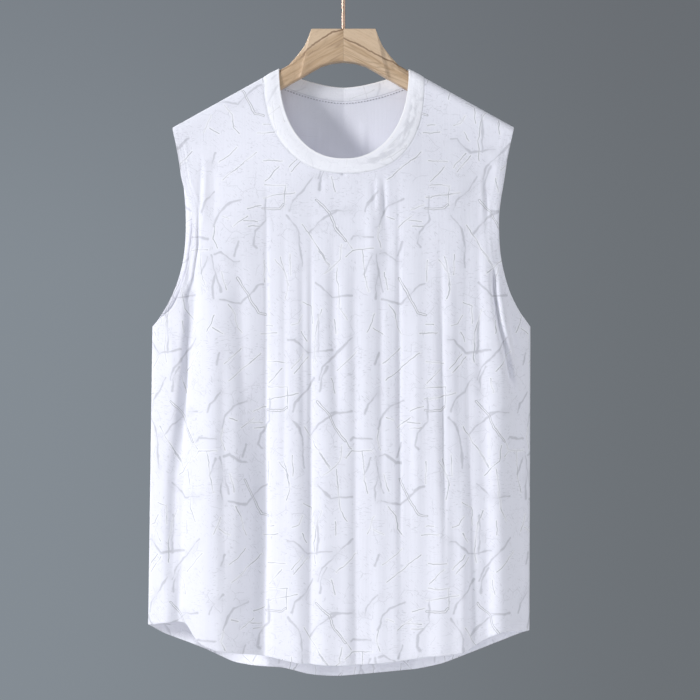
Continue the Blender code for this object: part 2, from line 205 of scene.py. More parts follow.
sides = {
    "front": Side(-1, 0.0420, 0.160, 0.1160, 0.1084, 0.081, 0.0105, 0.0030),
    "back": Side(1, 0.0350, 0.170, 0.0260, 0.0200, 0.030, 0.0, 0.0),
}
Hem = namedtuple("Hem", "across z")  # across runs from the left side seam (-1) to the right (1)
hems = {
    "front": [
        Hem(-1.00, -0.8045), Hem(-0.90, -0.8004), Hem(-0.80, -0.8002), Hem(-0.765, -0.8105),
        Hem(-0.73, -0.8205), Hem(-0.65, -0.8292), Hem(-0.55, -0.8335), Hem(-0.37, -0.8394),
        Hem(-0.20, -0.8460), Hem(0.02, -0.8486), Hem(0.30, -0.8440), Hem(0.45, -0.8388),
        Hem(0.64, -0.8344), Hem(0.69, -0.8288), Hem(0.75, -0.8205), Hem(0.80, -0.8150),
        Hem(0.86, -0.8100), Hem(1.00, -0.8115),
    ],
    "back": [
        Hem(-1.00, -0.8045), Hem(-0.91, -0.8175), Hem(-0.74, -0.8325), Hem(-0.57, -0.8520),
        Hem(-0.48, -0.8560), Hem(-0.31, -0.8588), Hem(-0.15, -0.8680), Hem(0.03, -0.8684),
        Hem(0.20, -0.8664), Hem(0.37, -0.8615), Hem(0.54, -0.8552), Hem(0.62, -0.8490),
        Hem(0.71, -0.8400), Hem(0.80, -0.8305), Hem(0.88, -0.8235), Hem(1.00, -0.8115),
    ],
}
Fold = namedtuple("Fold", "across out")  # place across at the hem, and how far it stands out
folds = {
    "front": [
        Fold(-0.2400, 0.000), Fold(-0.2120, 0.003), Fold(-0.1945, -0.007), Fold(-0.1585, 0.009),
        Fold(-0.0935, -0.015), Fold(-0.0560, -0.003), Fold(-0.0390, -0.009), Fold(-0.0205, -0.002),
        Fold(0.0130, -0.008), Fold(0.0290, -0.001), Fold(0.0665, -0.009), Fold(0.1060, 0.003),
        Fold(0.1500, -0.006), Fold(0.1840, 0.011), Fold(0.2130, 0.001), Fold(0.2400, 0.000),
    ],
    "back": [
        Fold(-0.2400, 0.000), Fold(-0.2050, 0.002), Fold(-0.1750, -0.006), Fold(-0.1350, 0.006),
        Fold(-0.0900, -0.009), Fold(-0.0450, 0.003), Fold(-0.0050, -0.008), Fold(0.0400, 0.004),
        Fold(0.0850, -0.009), Fold(0.1300, 0.005), Fold(0.1700, -0.006), Fold(0.2050, 0.004),
        Fold(0.2400, 0.000),
    ],
}


def smooth(t):
    t = min(max(t, 0.0), 1.0)
    return t * t * (3 - 2 * t)


def ridge(x):
    return outline["ridgePeak"] - outline["shoulderSlope"] * abs(x)


def sway(z):
    return outline["swayTop"] - outline["swayFall"] * (outline["ridgePeak"] - z)


def edgeHalf(z):
    # centre to the garment's edge: the back's armhole or, lower down, the side seam
    o = outline
    if z <= o["armpitZ"]:
        down = (o["armpitZ"] - z) / (o["armpitZ"] - o["hemSideZ"])
        return o["chestHalf"] + (o["hemHalf"] - o["chestHalf"]) * down
    if z >= o["acrossZ"]:
        up = min((z - o["acrossZ"]) / (ridge(o["shoulderHalf"]) - o["acrossZ"]), 1.0)
        return o["acrossHalf"] + (o["shoulderHalf"] - o["acrossHalf"]) * up ** o["armholeTopPower"]
    down = (o["acrossZ"] - z) / (o["acrossZ"] - o["armpitZ"])
    return o["acrossHalf"] + (o["chestHalf"] - o["acrossHalf"]) * down ** o["armholeLowPower"]


def armholeHalf(name, hand, z):
    inset = sides[name].insetLeft if hand < 0 else sides[name].insetRight
    above = (z - outline["acrossZ"]) / (ridge(outline["shoulderHalf"]) - outline["acrossZ"])
    aboveArmpit = (z - outline["armpitZ"]) / (outline["acrossZ"] - outline["armpitZ"])
    return edgeHalf(z) - inset * smooth(1 - above / 0.5) * smooth(5 * aboveArmpit)


def foldOut(name, x, z):
    # soft over the ridges, tighter in the valleys
    table = folds[name]
    top, low = bodyForm["foldTopZ"], outline["hemSideZ"]
    aboveHem = (z - low) / (top - low)
    x *= 1 + bodyForm["foldFan"] * (x / outline["shoulderHalf"]) ** 2 * aboveHem
    for left, right in zip(table, table[1:]):
        if x <= right.across:
            t = (x - left.across) / (right.across - left.across)
            valley, crest = (left, right) if left.out < right.out else (right, left)
            t = t if valley is left else 1 - t
            soft = 0.5 - 0.5 * math.cos(math.pi * t)
            creased = math.sin(math.pi * t / 2)
            t = soft + (creased - soft) * bodyForm["foldSharpness"]
            return valley.out + (crest.out - valley.out) * t
    return 0.0


def plainDepth(name, x, z):
    # from the hanger's plane to the middle of the cloth, without the fine creases
    side = sides[name]
    radius = bodyForm["fallRadius"]
    fall = max(ridge(x) - z, 0.0)
    over = radius * math.sqrt(max(0.0, 1 - (1 - min(fall / radius, 1.0)) ** 2))
    half = edgeHalf(min(z, outline["armpitZ"]))
    across = min(abs(x - sway(z)) / half, 1.0)
    body = side.depth * (1 - across ** bodyForm["sidePower"]) ** bodyForm["sideRound"]
    grown = smooth((bodyForm["foldTopZ"] - z) / bodyForm["foldGrowth"]) * (1 - across**16)
    return over + (body - radius) * smooth(fall / side.swell) + grown * foldOut(name, x, z)


# Creases given in millimetres: how far each stands out (less than 0 is a trough), its
# half width, how much of its length fades at either end, and the places (x, z) on its way.
Crease = namedtuple("Crease", "out half fade path")
creases = {
    "front": [
        # beside the left armhole
        Crease(-4.8, 7, 0.16, [(-175.5, -370), (-175.5, -430), (-188.5, -549), (-199, -625),
                               (-202.5, -715), (-206, -790)]),
        Crease(-2, 2.6, 0.25, [(-174.2, -385), (-173.5, -430), (-180, -500), (-185, -560),
                               (-196, -640)]),
        Crease(1.4, 1.6, 0.3, [(-172.2, -300), (-173.5, -360), (-179, -395), (-193, -428)]),
        Crease(-1.8, 1.8, 0.3, [(-169, -320), (-170.5, -365), (-175.5, -398), (-189, -432)]),
        Crease(1.4, 3.4, 0.4, [(-189, -405), (-188, -430), (-190, -480)]),
        Crease(-1.4, 2.6, 0.4, [(-197.5, -425), (-196, -470), (-197.5, -540)]),
        Crease(-1.4, 1.8, 0.5, [(-172.5, -353.5), (-161, -355.2)]),
        Crease(-1.2, 1.6, 0.5, [(-177.5, -367), (-170, -369.5)]),
        # under the left shoulder
        Crease(1.2, 2.6, 0.35, [(-161.5, -250), (-162.8, -300), (-165, -345)]),
        Crease(-1.2, 2.6, 0.35, [(-167, -246), (-168.5, -300), (-170.2, -350)]),
        Crease(1.2, 5, 0.4, [(-180, -240), (-178, -280), (-176.5, -335)]),
        Crease(-1, 5, 0.45, [(-152.5, -235), (-152, -290), (-154, -350)]),
        Crease(1, 2, 0.5, [(-184, -224.7), (-174, -233)]),
        # beside the right armhole and the armpit
        Crease(-6.8, 3, 0.16, [(175.2, -376), (176.8, -410), (182, -445), (190, -485), (198.5, -530)]),
        Crease(4, 2.2, 0.25, [(182, -405), (190, -448), (199.5, -492), (207.5, -535)]),
        Crease(-2.2, 2.8, 0.4, [(190.5, -425), (200, -465), (209, -510)]),
        Crease(-1.2, 1.8, 0.5, [(168.9, -426.2), (192.3, -425)]),
        Crease(-1.2, 2.2, 0.45, [(166, -272), (167.2, -300), (169, -335)]),
        Crease(1, 3, 0.45, [(161.5, -262), (162.5, -300), (164, -345)]),
        # under the neckband
        Crease(-1.4, 2, 0.4, [(-26.2, -272), (-26.5, -300)]),
        Crease(-1.4, 2.2, 0.45, [(35.4, -270.5), (35.7, -295), (35, -320)]),
        Crease(-1.6, 3.4, 0.4, [(46.2, -266), (46.8, -290), (47, -340)]),
        Crease(1.4, 2.8, 0.45, [(41, -269), (41.2, -300), (41, -340)]),
        Crease(1.2, 3, 0.45, [(52.5, -264), (53, -300), (53, -350)]),
        # broad hanging folds, which reach past the hem
        Crease(-6.4, 10, 0.3, [(150, -330), (160, -420), (164, -520), (168.9, -700), (170, -1100)]),
        Crease(6.6, 9.5, 0.5, [(140, -440), (140.9, -700), (141.2, -1100)]),
        Crease(-2.4, 12, 0.2, [(96, -240), (98.8, -360), (98.8, -1100)]),
        Crease(-2.2, 14, 0.5, [(98.8, -480), (100, -1100)]),
        Crease(5.2, 10.5, 0.5, [(62.6, -480), (63, -1100)]),
        Crease(-4.2, 10.5, 0.5, [(27, -480), (29, -700), (29, -1100)]),
        Crease(3.2, 9.5, 0.45, [(9, -440), (5.4, -640), (5, -1100)]),
        Crease(-3.4, 16, 0.5, [(-69.4, -500), (-69.4, -1100)]),
        Crease(-3.4, 11, 0.4, [(-196, -500), (-198.5, -600), (-199, -770)]),
        Crease(1.8, 12, 0.5, [(-142, -560), (-142, -1140)]),
        Crease(-6.2, 15, 0.5, [(-101, -440), (-100, -1100)]),
        Crease(-4.8, 11, 0.45, [(-122, -330), (-121.2, -450), (-120, -610)]),
        Crease(-1.6, 12, 0.4, [(-150, -260), (-151.2, -360), (-148, -440)]),
        Crease(3, 8, 0.4, [(183, -370), (188, -480), (193, -640)]),
        Crease(3.4, 10, 0.3, [(185, -225), (182, -300), (183, -370)]),
        Crease(1.8, 6, 0.35, [(30, -280), (32.5, -340), (33, -440)]),
        Crease(-2, 6, 0.35, [(50, -268), (51, -340), (50, -440)]),
        # narrow creases at the foot of the folds
        Crease(-1.7, 2.4, 0.3, [(-89.8, -240), (-90, -500), (-90.5, -820)]),
        Crease(-1.5, 2.2, 0.3, [(-37.5, -290), (-37.9, -500), (-38.5, -800)]),
        Crease(-1.8, 2.4, 0.3, [(64, -250), (64.9, -450), (66, -780)]),
        Crease(-1.4, 2.2, 0.3, [(115, -330), (116.3, -550), (119, -800)]),
        # long hanging ripples between the folds
        Crease(-3, 6.2, 0.35, [(-12.5, -330), (-12, -450), (-6, -620)]),
        Crease(2, 6, 0.35, [(2, -350), (3, -450), (6, -580)]),
        Crease(-2.2, 4.6, 0.3, [(44, -330), (43.5, -480), (45, -700)]),
        Crease(-2.6, 5, 0.28, [(112, -330), (114, -480), (119, -720)]),
        Crease(1.6, 4.6, 0.3, [(125, -350), (127.5, -480), (132, -700)]),
        Crease(-1.8, 6, 0.3, [(-142, -430), (-141, -600), (-140, -800)]),
        Crease(1.6, 6, 0.3, [(-127, -400), (-125, -600), (-124, -780)]),
        Crease(-1.6, 3.4, 0.3, [(-49, -330), (-48, -480), (-47, -640)]),
        Crease(1.4, 5, 0.35, [(86, -400), (85, -560), (86, -720)]),
        Crease(-1.4, 4, 0.3, [(-69, -300), (-69, -480), (-70, -700)]),
        Crease(-1.4, 4.4, 0.35, [(158, -300), (159, -420), (160, -560)]),
    ],
    "back": [
        Crease(2.4, 1.7, 0.25, [(-176.5, -312), (-182.2, -347.8), (-187.2, -378)]),
        Crease(2.2, 1.6, 0.25, [(-174.1, -340), (-183, -374.2), (-191.5, -400)]),
        Crease(-1.8, 1.8, 0.3, [(-180, -325), (-185, -360), (-191, -388)]),
        Crease(2.6, 2, 0.25, [(-190, -404), (-202.8, -429.2), (-216, -447)]),
        Crease(-2.4, 4, 0.35, [(181.5, -400), (179, -430), (176, -500)]),
        Crease(1.6, 4, 0.4, [(187, -405), (186, -440), (184, -500)]),
        Crease(-2.4, 3.6, 0.35, [(-179, -402), (-177.5, -430), (-182, -490)]),
        Crease(1.8, 4, 0.35, [(-185, -420), (-188, -450), (-193, -500)]),
        Crease(-1.2, 5, 0.4, [(168, -250), (167.5, -300), (169, -350)]),
        Crease(1.2, 6, 0.4, [(-172, -245), (-170, -290), (-168, -350)]),
        Crease(-1.2, 3.2, 0.45, [(-30, -200), (-30.2, -240), (-30.6, -290)]),
        Crease(-1.4, 3.4, 0.45, [(24, -196), (23.8, -250), (24.2, -300)]),
        Crease(-2.4, 5.2, 0.3, [(-118, -330), (-117, -500), (-115, -740)]),
        Crease(1.8, 4.8, 0.3, [(-64, -350), (-65, -500), (-67, -700)]),
        Crease(-2.2, 5, 0.3, [(18, -340), (19, -520), (22, -760)]),
        Crease(1.8, 5, 0.32, [(62, -360), (61, -520), (60, -700)]),
        Crease(-2.2, 5, 0.3, [(111, -340), (112, -500), (115, -730)]),
    ],
}
fineCloth = {
    "rippleOut": 0.00080,  # narrow hanging ripples between the folds
    "rippleWide": 0.021,
    "rippleLong": 0.34,
    "soften": 0.00026,  # soft unevenness all over
    "softenSize": 0.030,
    "rippleStanding": 0.45,  # share of the ripples above the folds, and what the folds add
    "rippleHanging": 1.1,
    "hangLead": 0.06,  # ripples start this far above the folds
    "hangLong": 0.20,
    "startFall": 0.026,  # the cloth is plain where it lies on the hanger
    "startFade": 0.03,
    "joinFade": 0.03,  # the armhole's edge becomes the side seam over this length
    "sideFade": 0.010,
    "openFade": 0.0015,  # the same at the armholes, where the edge is free
    "backFlare": 0.0080,  # the back's armhole edges stand off
    "flareWide": 0.020,
    "rowSink": 0.00045,  # the armhole's stitching pulls the cloth in along its rows
    "rowWide": 0.0012,
    "seed": {"front": 3.1, "back": 17.7},
}


def creaseStrokes(name):
    # each crease of a panel with its straight strokes, its length and the box that it reaches
    ready = []
    for out, half, fade, path in creases[name]:
        strokes, done = [], 0.0
        path = [(x / 1000, z / 1000) for x, z in path]
        for a, b in zip(path, path[1:]):
            length = math.dist(a, b)
            strokes.append((*a, (b[0] - a[0]) / length, (b[1] - a[1]) / length, length, done))
            done += length
        reach = 3 * half / 1000
        box = [(min(places) - reach, max(places) + reach) for places in zip(*path)]
        ready.append((Crease(out / 1000, half / 1000, fade, path), strokes, done, box))
    return ready


laidCreases = {name: creaseStrokes(name) for name in sides}


def creaseOut(name, x, z):
    total = 0.0
    for crease, strokes, whole, ((left, right), (low, high)) in laidCreases[name]:
        if not (left < x < right and low < z < high):
            continue
        nearest, place = 9.0, 0.0
        for ax, az, wayX, wayZ, length, done in strokes:
            along = min(max((x - ax) * wayX + (z - az) * wayZ, 0.0), length)
            away = math.hypot(x - ax - along * wayX, z - az - along * wayZ)
            if away < nearest:
                nearest, place = away, done + along
        share = place / whole
        ends = smooth(share / crease.fade) * smooth((1 - share) / crease.fade)
        total += crease.out * ends * math.exp(-((nearest / crease.half) ** 2))
    return total


def fineOut(name, x, z):
    f = fineCloth
    fall = ridge(x) - z
    fromSide = armholeHalf(name, 1 if x > sway(z) else -1, z) - abs(x - sway(z))
    joined = smooth((outline["armpitZ"] + f["joinFade"] - z) / f["joinFade"])
    fade = f["openFade"] + (f["sideFade"] - f["openFade"]) * joined
    shown = smooth((fall - f["startFall"]) / f["startFade"]) * smooth(fromSide / fade)
    if shown == 0:
        return 0.0
    seed = f["seed"][name]
    ripple = noise.noise(Vector((x / f["rippleWide"], z / f["rippleLong"], seed)))
    uneven = noise.noise(Vector((x / f["softenSize"], z / f["softenSize"], seed + 5)))
    hanging = smooth((bodyForm["foldTopZ"] + f["hangLead"] - z) / f["hangLong"])
    strength = f["rippleStanding"] + f["rippleHanging"] * hanging
    fine = ripple * f["rippleOut"] * strength + uneven * f["soften"]
    return shown * (fine + creaseOut(name, x, z))


def armholeForm(name, x, z):
    # what the armhole's edge adds: it stands off at the back, and is drawn in along its stitching
    if z < outline["armpitZ"]:
        return 0.0
    f = fineCloth
    hand = 1 if x > sway(z) else -1
    away = armholeHalf(name, hand, z) - abs(x - sway(z))
    top = ridge(outline["shoulderHalf"])
    share = min(max((z - outline["armpitZ"]) / (top - outline["armpitZ"]), 0.0), 1.0)
    free = math.sin(math.pi * share) ** 0.6
    out = 0.0
    if name == "back":
        out += f["backFlare"] * free * max(1 - away / f["flareWide"], 0.0) ** 2
    for row in sewing["armholeRows"]:
        out -= f["rowSink"] * free * math.exp(-(((away - row) / f["rowWide"]) ** 2))
    return out


def clothPoint(name, x, z):
    depth = plainDepth(name, x, z) + fineOut(name, x, z) + armholeForm(name, x, z)
    return Vector((x, sides[name].sign * max(depth, bodyForm["seamGap"] / 2), z))


def clothNormal(name, x, z):
    near = 0.0006
    here = clothPoint(name, x, z)
    across = clothPoint(name, x + near, z) - here
    up = clothPoint(name, x, z + near) - here
    return (across.cross(up) * -sides[name].sign).normalized()


def neckEdge(name, half, drop, hand, down, roundness=None):
    # (x, z) on a neckline that falls from the shoulder line (down 0) to the centre (down 1)
    down = min(down, 1.0)
    if name == "back":
        reach = (1 - down) ** (1 / neckForm["backCurve"])
    else:
        roundness = roundness or neckForm["seamRoundness"][hand]
        reach = (1 - down**roundness) ** (1 / roundness)
    startZ = ridge(outline["swayTop"] + hand * half)
    return outline["swayTop"] + hand * half * reach, startZ + (ridge(half) - drop - startZ) * down


def hemZ(name, across):
    table = hems[name]
    last = len(table) - 1
    across = min(max(across, -1.0), 1.0)
    i = 0
    while i < last - 1 and across > table[i + 1].across:
        i += 1
    before, low, high, after = (table[min(max(k, 0), last)] for k in (i - 1, i, i + 1, i + 2))
    gap = high.across - low.across
    t = (across - low.across) / gap
    slopeLow = (high.z - before.z) / (high.across - before.across) * gap
    slopeHigh = (after.z - low.z) / (after.across - low.across) * gap
    return (
        low.z * (2 * t**3 - 3 * t**2 + 1)
        + slopeLow * (t**3 - 2 * t**2 + t)
        + high.z * (3 * t**2 - 2 * t**3)
        + slopeHigh * (t**3 - t**2)
    )


# Cloth panels
panelCloth = {
    "half": 0.00055,  # half of one layer
    "hemWall": 0.0017,  # turned under and stitched
    "hemTurn": 0.013,
    "armholeTurn": 0.010,
    "turnFade": 0.002,  # the turned part ends over this width
    "columns": 92,  # from the centre to one side
    "evenShare": 0.62,  # of the columns' spacing; the rest draws closer towards the side
    "wrapSteps": 9,  # rows over the hanger's arm
    "strapAngleStep": {"front": 1.45, "back": 2.1},
    "rowPitch": 0.0040,
    "rimSteps": 4,
    "printStretch": 1.03,
    "backPrintShift": 0.0620,
}


def strapDowns(name):
    # rows close together where the cloth bends over the arm, then even in angle
    side = sides[name]
    radius = bodyForm["fallRadius"]
    steps = panelCloth["wrapSteps"]
    bends = [radius * (1 - math.cos(math.pi / 2 * i / steps)) / side.armDrop for i in range(steps + 1)]
    start = math.degrees(math.asin(bends[-1] ** (neckForm["roundness"] / 2)))
    count = round((90 - start) / panelCloth["strapAngleStep"][name])
    angles = [start + (90 - start) * i / count for i in range(1, count + 1)]
    return bends + [math.sin(math.radians(a)) ** (2 / neckForm["roundness"]) for a in angles]


def strapRow(name, hand, down, places):
    side = sides[name]
    neckX, neckZ = neckEdge(name, neckForm["seamHalf"], side.neckDrop, hand, down)
    tipX = sway(ridge(outline["shoulderHalf"])) + hand * outline["shoulderHalf"]
    armZ = ridge(tipX) - side.armDrop * down
    armX = sway(armZ) * down + (tipX - hand * outline["shoulderHalf"]) * (1 - down)
    armX += hand * armholeHalf(name, hand, armZ)
    return [(neckX + (armX - neckX) * t, neckZ + (armZ - neckZ) * t) for t in places]


def bodyRow(name, hand, topRow, share, places):
    row = []
    straight = armholeHalf(name, hand, topRow[-1][1])
    hemHalf = outline["hemHalf"]
    for place, (_, topZ) in zip(places, topRow):
        atHem = (straight * place + (hemHalf - straight) * place**5) / hemHalf
        z = topZ + (hemZ(name, hand * atHem) - topZ) * share
        reach = armholeHalf(name, hand, z)
        row.append((sway(z) + hand * (straight * place + (reach - straight) * place**5), z))
    return row


def panelRows(name, hand, steps=None):
    count = panelCloth["columns"]
    even = panelCloth["evenShare"]
    shares = [i / count for i in range(count + 1)]
    places = [even * t + (1 - even) * math.sin(math.pi / 2 * t) for t in shares]
    rows = [strapRow(name, hand, down, places) for down in strapDowns(name)]
    straps = len(rows)
    top = rows[-1]
    sideLength = top[-1][1] - hemZ(name, hand)
    armpit = (top[-1][1] - outline["armpitZ"]) / sideLength
    turn = 1 - panelCloth["hemTurn"] / sideLength
    centreLength = top[0][1] - hemZ(name, 0)
    spans = list(zip((0, armpit, turn), (armpit, turn, 1)))
    if steps is None:
        pitch = panelCloth["rowPitch"] / centreLength
        steps = [max(4, round((last - first) / pitch)) for first, last in spans]
    for (first, last), number in zip(spans, steps):
        for i in range(1, number + 1):
            rows.append(bodyRow(name, hand, top, first + (last - first) * i / number, places))
    return rows, straps, steps


def flatPlace(name, x, z, arc):
    # where a point lies on the flat cloth: arc across, and down over the bend at the shoulder
    across = arc / panelCloth["printStretch"]
    if name == "back":  # seen from behind, the print runs the same way as on the front
        across = panelCloth["backPrintShift"] - across
    radius = bodyForm["fallRadius"]
    fall = max(ridge(x) - z, 0.0)
    over = radius * math.acos(1 - fall / radius) if fall < radius else fall + radius * (math.pi / 2 - 1)
    return across, z + fall - over


def edgeAway(name, x, z):
    # how far a place is from the turned edge at the hem or the armhole
    half = edgeHalf(min(z, outline["armpitZ"]))
    hem = z - hemZ(name, (x - sway(z)) / half)
    if z < outline["armpitZ"]:
        return hem
    hand = 1 if x > sway(z) else -1
    return min(hem, armholeHalf(name, hand, z) - abs(x - sway(z)) + 0.0001)


def turnedUnder(name):
    half, fade = panelCloth["half"], panelCloth["turnFade"]

    def inner(p):
        away = edgeAway(name, p.x, p.z)
        hem = p.z < outline["armpitZ"]
        turn = panelCloth["hemTurn"] if hem else panelCloth["armholeTurn"]
        wrapped = not hem and p.z > ridge(p.x) - 2 * bodyForm["fallRadius"]
        thick = 0.0 if wrapped else smooth((turn + fade - away) / fade)
        return half + (panelCloth["hemWall"] - 2 * half) * thick

    return inner


def rimDirections(points, faces, normals):
    # the open edges, each from its face's side, and the way out of the cloth at their points
    count = {}
    for face in faces:
        for a, b in zip(face, face[1:] + face[:1]):
            count[min(a, b), max(a, b)] = count.get((min(a, b), max(a, b)), 0) + 1
    edges, out = [], {}
    for face in faces:
        for a, b in zip(face, face[1:] + face[:1]):
            if count[min(a, b), max(a, b)] > 1:
                continue
            edges.append((a, b))
            for v in (a, b):
                away = (points[b] - points[a]).cross(normals[v]).normalized()
                out[v] = out.get(v, Vector()) + away
    return edges, {v: d.normalized() for v, d in out.items()}


def clothShell(name, points, faces, flats, edge, fixed, outer, inner, finishes):
    # a closed thin shell round a surface, with a rounded rim along every open edge
    surface = bmesh.new()
    verts = [surface.verts.new(p) for p in points]
    for face in faces:
        surface.faces.new([verts[i] for i in face])
    surface.verts.index_update()
    surface.normal_update()
    normals = [fixed.get(i, v.normal.copy()) for i, v in enumerate(verts)]
    area = sum(f.calc_area() for f in surface.faces)
    surface.free()

    edges, out = rimDirections(points, faces, normals)
    count = len(points)
    shell, source = [], []
    for side in (1, -1):
        for i, (p, n) in enumerate(zip(points, normals)):
            reach = outer(p) if side > 0 else -inner(p)
            round_ = out[i] * (outer(p) + inner(p)) / 2 if i in out else Vector()
            shell.append(p + n * reach - round_)
            source.append(i)
    rim = {}
    steps = panelCloth["rimSteps"]
    for i, way in out.items():
        p, n = points[i], normals[i]
        radius = (outer(p) + inner(p)) / 2
        middle = p + n * (outer(p) - inner(p)) / 2 - way * radius
        rim[i] = [i]
        for k in range(1, steps):
            angle = math.pi * k / steps
            rim[i].append(len(shell))
            shell.append(middle + n * math.cos(angle) * radius + way * math.sin(angle) * radius)
            source.append(i)
        rim[i].append(i + count)
    closed = [list(face) for face in faces]
    closed += [[i + count for i in reversed(face)] for face in faces]
    for a, b in edges:
        for k in range(steps):
            closed.append([rim[b][k], rim[a][k], rim[a][k + 1], rim[b][k + 1]])
    mesh = bpy.data.meshes.new(name)
    mesh.from_pydata([tuple(p) for p in shell], [], closed)
    mesh.shade_smooth()
    layer = mesh.uv_layers.new(name="flat")
    values = []
    for loop in mesh.loops:
        values += flats[source[loop.vertex_index]]
    layer.data.foreach_set("uv", values)
    stored = mesh.attributes.new("edgeAway", "FLOAT", "POINT")
    stored.data.foreach_set("value", [edge[i] for i in source])
    for finish in finishes:
        mesh.materials.append(finish.owner)
    for polygon in list(mesh.polygons)[len(faces) : 2 * len(faces)]:
        polygon.material_index = len(finishes) - 1
    return mesh, area


def addPiece(name, mesh, slot, *nodes):
    piece = bpy.data.objects.new(name, mesh)
    scene.collection.objects.link(piece)
    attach(piece, "root")
    if nodes:
        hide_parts(*nodes)
    return piece


def panelSurface(name):
    left, straps, steps = panelRows(name, -1)
    halves = {-1: left, 1: panelRows(name, 1, steps)[0]}
    points, flats, edge, fixed, index = [], [], [], {}, {}
    for hand, rows in halves.items():
        for r, row in enumerate(rows):
            arc, last = row[0][0], None
            for c, (x, z) in enumerate(row):
                point = clothPoint(name, x, z)
                if last is not None:
                    arc += hand * math.hypot(point.x - last.x, point.y - last.y)
                last = point
                if hand > 0 and c == 0 and r >= straps - 1:
                    index[hand, r, c] = index[-1, r, 0]
                    continue
                index[hand, r, c] = len(points)
                if r == 0:
                    fixed[len(points)] = Vector((hand * outline["shoulderSlope"], 0, 1)).normalized()
                elif c == len(row) - 1 and z <= outline["armpitZ"] + 1e-6:
                    fixed[len(points)] = Vector((hand, 0, 0))
                points.append(point)
                flats.append(flatPlace(name, point.x, z, arc))
                edge.append(edgeAway(name, x, z))
    faces = []
    for hand, rows in halves.items():
        for r in range(len(rows) - 1):
            for c in range(len(rows[0]) - 1):
                face = [(r, c), (r + 1, c), (r + 1, c + 1), (r, c + 1)]
                if hand * sides[name].sign > 0:
                    face.reverse()
                faces.append([index[(hand, *corner)] for corner in face])
    return points, faces, flats, edge, fixed


def buildPanel(name, node, finishes):
    points, faces, flats, edge, fixed = panelSurface(name)
    half = panelCloth["half"]
    mesh, area = clothShell(
        f"{name}PanelCloth", points, faces, flats, edge, fixed,
        lambda p: half, turnedUnder(name), finishes,
    )
    arcs = [u * panelCloth["printStretch"] for u, _ in flats]
    print(f"{name} panel: {len(mesh.polygons)} faces, {area:.4f} m2, arc {max(arcs) - min(arcs):.4f} m")
    return addPiece(f"{name}PanelCloth", mesh, "cloth", node)


# The neckband
neckbandCloth = {
    "half": 0.00095,
    "crown": 0.0005,  # the folded band is fuller in its middle
    "acrossSteps": 12,
    "stations": {"front": 150, "back": 90},
    "crownEnd": 0.87,  # share of the width where the fold begins
    "printDown": 0.31,  # where the band lies in the print
    "overlap": 0.0003,  # onto the panels at the seam
    "inside": 0.0001,  # thinner on the inside
    "wide": 0.0195,
    "pucker": 0.00022,
    "puckerLong": 0.0075,
}


def neckbandStations():
    b = neckbandCloth["stations"]

    def downs(count):
        quarter = [math.pi / 2 * (i / count) ** 1.15 for i in range(count + 1)]
        return [math.sin(angle) ** (2 / neckForm["roundness"]) for angle in quarter]

    front, back = downs(b["front"]), downs(b["back"])
    stations = [("front", 1, d) for d in front]
    stations += [("front", -1, d) for d in front[-2::-1]]
    stations += [("back", -1, d) for d in back[1:]]
    stations += [("back", 1, d) for d in back[-2:0:-1]]
    return stations


def bandPoint(name, hand, down, share):
    side = sides[name]
    seamX, seamZ = neckEdge(name, neckForm["seamHalf"], side.neckDrop, hand, down)
    rounder = neckForm["edgeRoundness"]
    edgeX, edgeZ = neckEdge(name, neckForm["edgeHalf"], side.bandDrop, hand, down, rounder)
    x, z = seamX + (edgeX - seamX) * share, seamZ + (edgeZ - seamZ) * share
    angle = math.degrees(math.asin(min(down, 1.0) ** (neckForm["roundness"] / 2)))
    lean = 1 - (1 - neckForm["lean"]) * smooth(angle / 60)
    if name == "back":
        fromCorner = abs(abs(edgeX) - neckForm["blockCorner"])
        lean += neckForm["blockPush"] * smooth(1 - fromCorner / neckForm["blockFade"])
    y = side.sign * max(plainDepth(name, x, z), bodyForm["seamGap"] / 2)
    return Vector((x, y * (1 - (1 - lean) * share) if angle else 0.0, z))


def buildNeckband(finish):
    b = neckbandCloth
    stations = neckbandStations()
    points, flats, edge = [], [], []
    round_, last = 0.0, None
    for name, hand, down in stations:
        seam, fold = bandPoint(name, hand, down, 0), bandPoint(name, hand, down, 1)
        wide = (fold - seam).length
        start = -b["overlap"] / wide
        if last is not None:
            round_ += (seam - last).length
        last = seam
        for step in range(b["acrossSteps"] + 1):
            share = start + (1 - start) * step / b["acrossSteps"]
            points.append(bandPoint(name, hand, down, share))
            flats.append((round_, share * wide - b["printDown"]))
            edge.append(share * b["wide"])
    ring, wide = len(stations), b["acrossSteps"] + 1
    faces = []
    for i in range(ring):
        j = (i + 1) % ring
        for k in range(b["acrossSteps"]):
            faces.append([i * wide + k, i * wide + k + 1, j * wide + k + 1, j * wide + k])
    shareOf = {}
    for i, p in enumerate(points):
        shareOf[tuple(p)] = ((i % wide) / b["acrossSteps"], flats[i][0])

    def half(p):
        share, along = shareOf[tuple(p)]
        swollen = share < b["crownEnd"]
        full = math.sin(math.pi * min(share * 1.15, 1.0)) ** 0.7 if swollen else 0.0
        pucker = noise.noise(Vector((along / b["puckerLong"], share * 1.5, 8.2)))
        uneven = b["pucker"] * pucker * (1 - share) ** 1.5
        return b["half"] + b["crown"] * (full - 0.4) + uneven

    inner = b["half"] - b["inside"]
    mesh, area = clothShell(
        "neckbandCloth", points, faces, flats, edge, {}, half, lambda p: inner, [finish]
    )
    print(f"neckband: {len(mesh.polygons)} faces, {area:.4f} m2, {round_:.4f} m round")
    return addPiece("neckbandCloth", mesh, "band", "neckband")


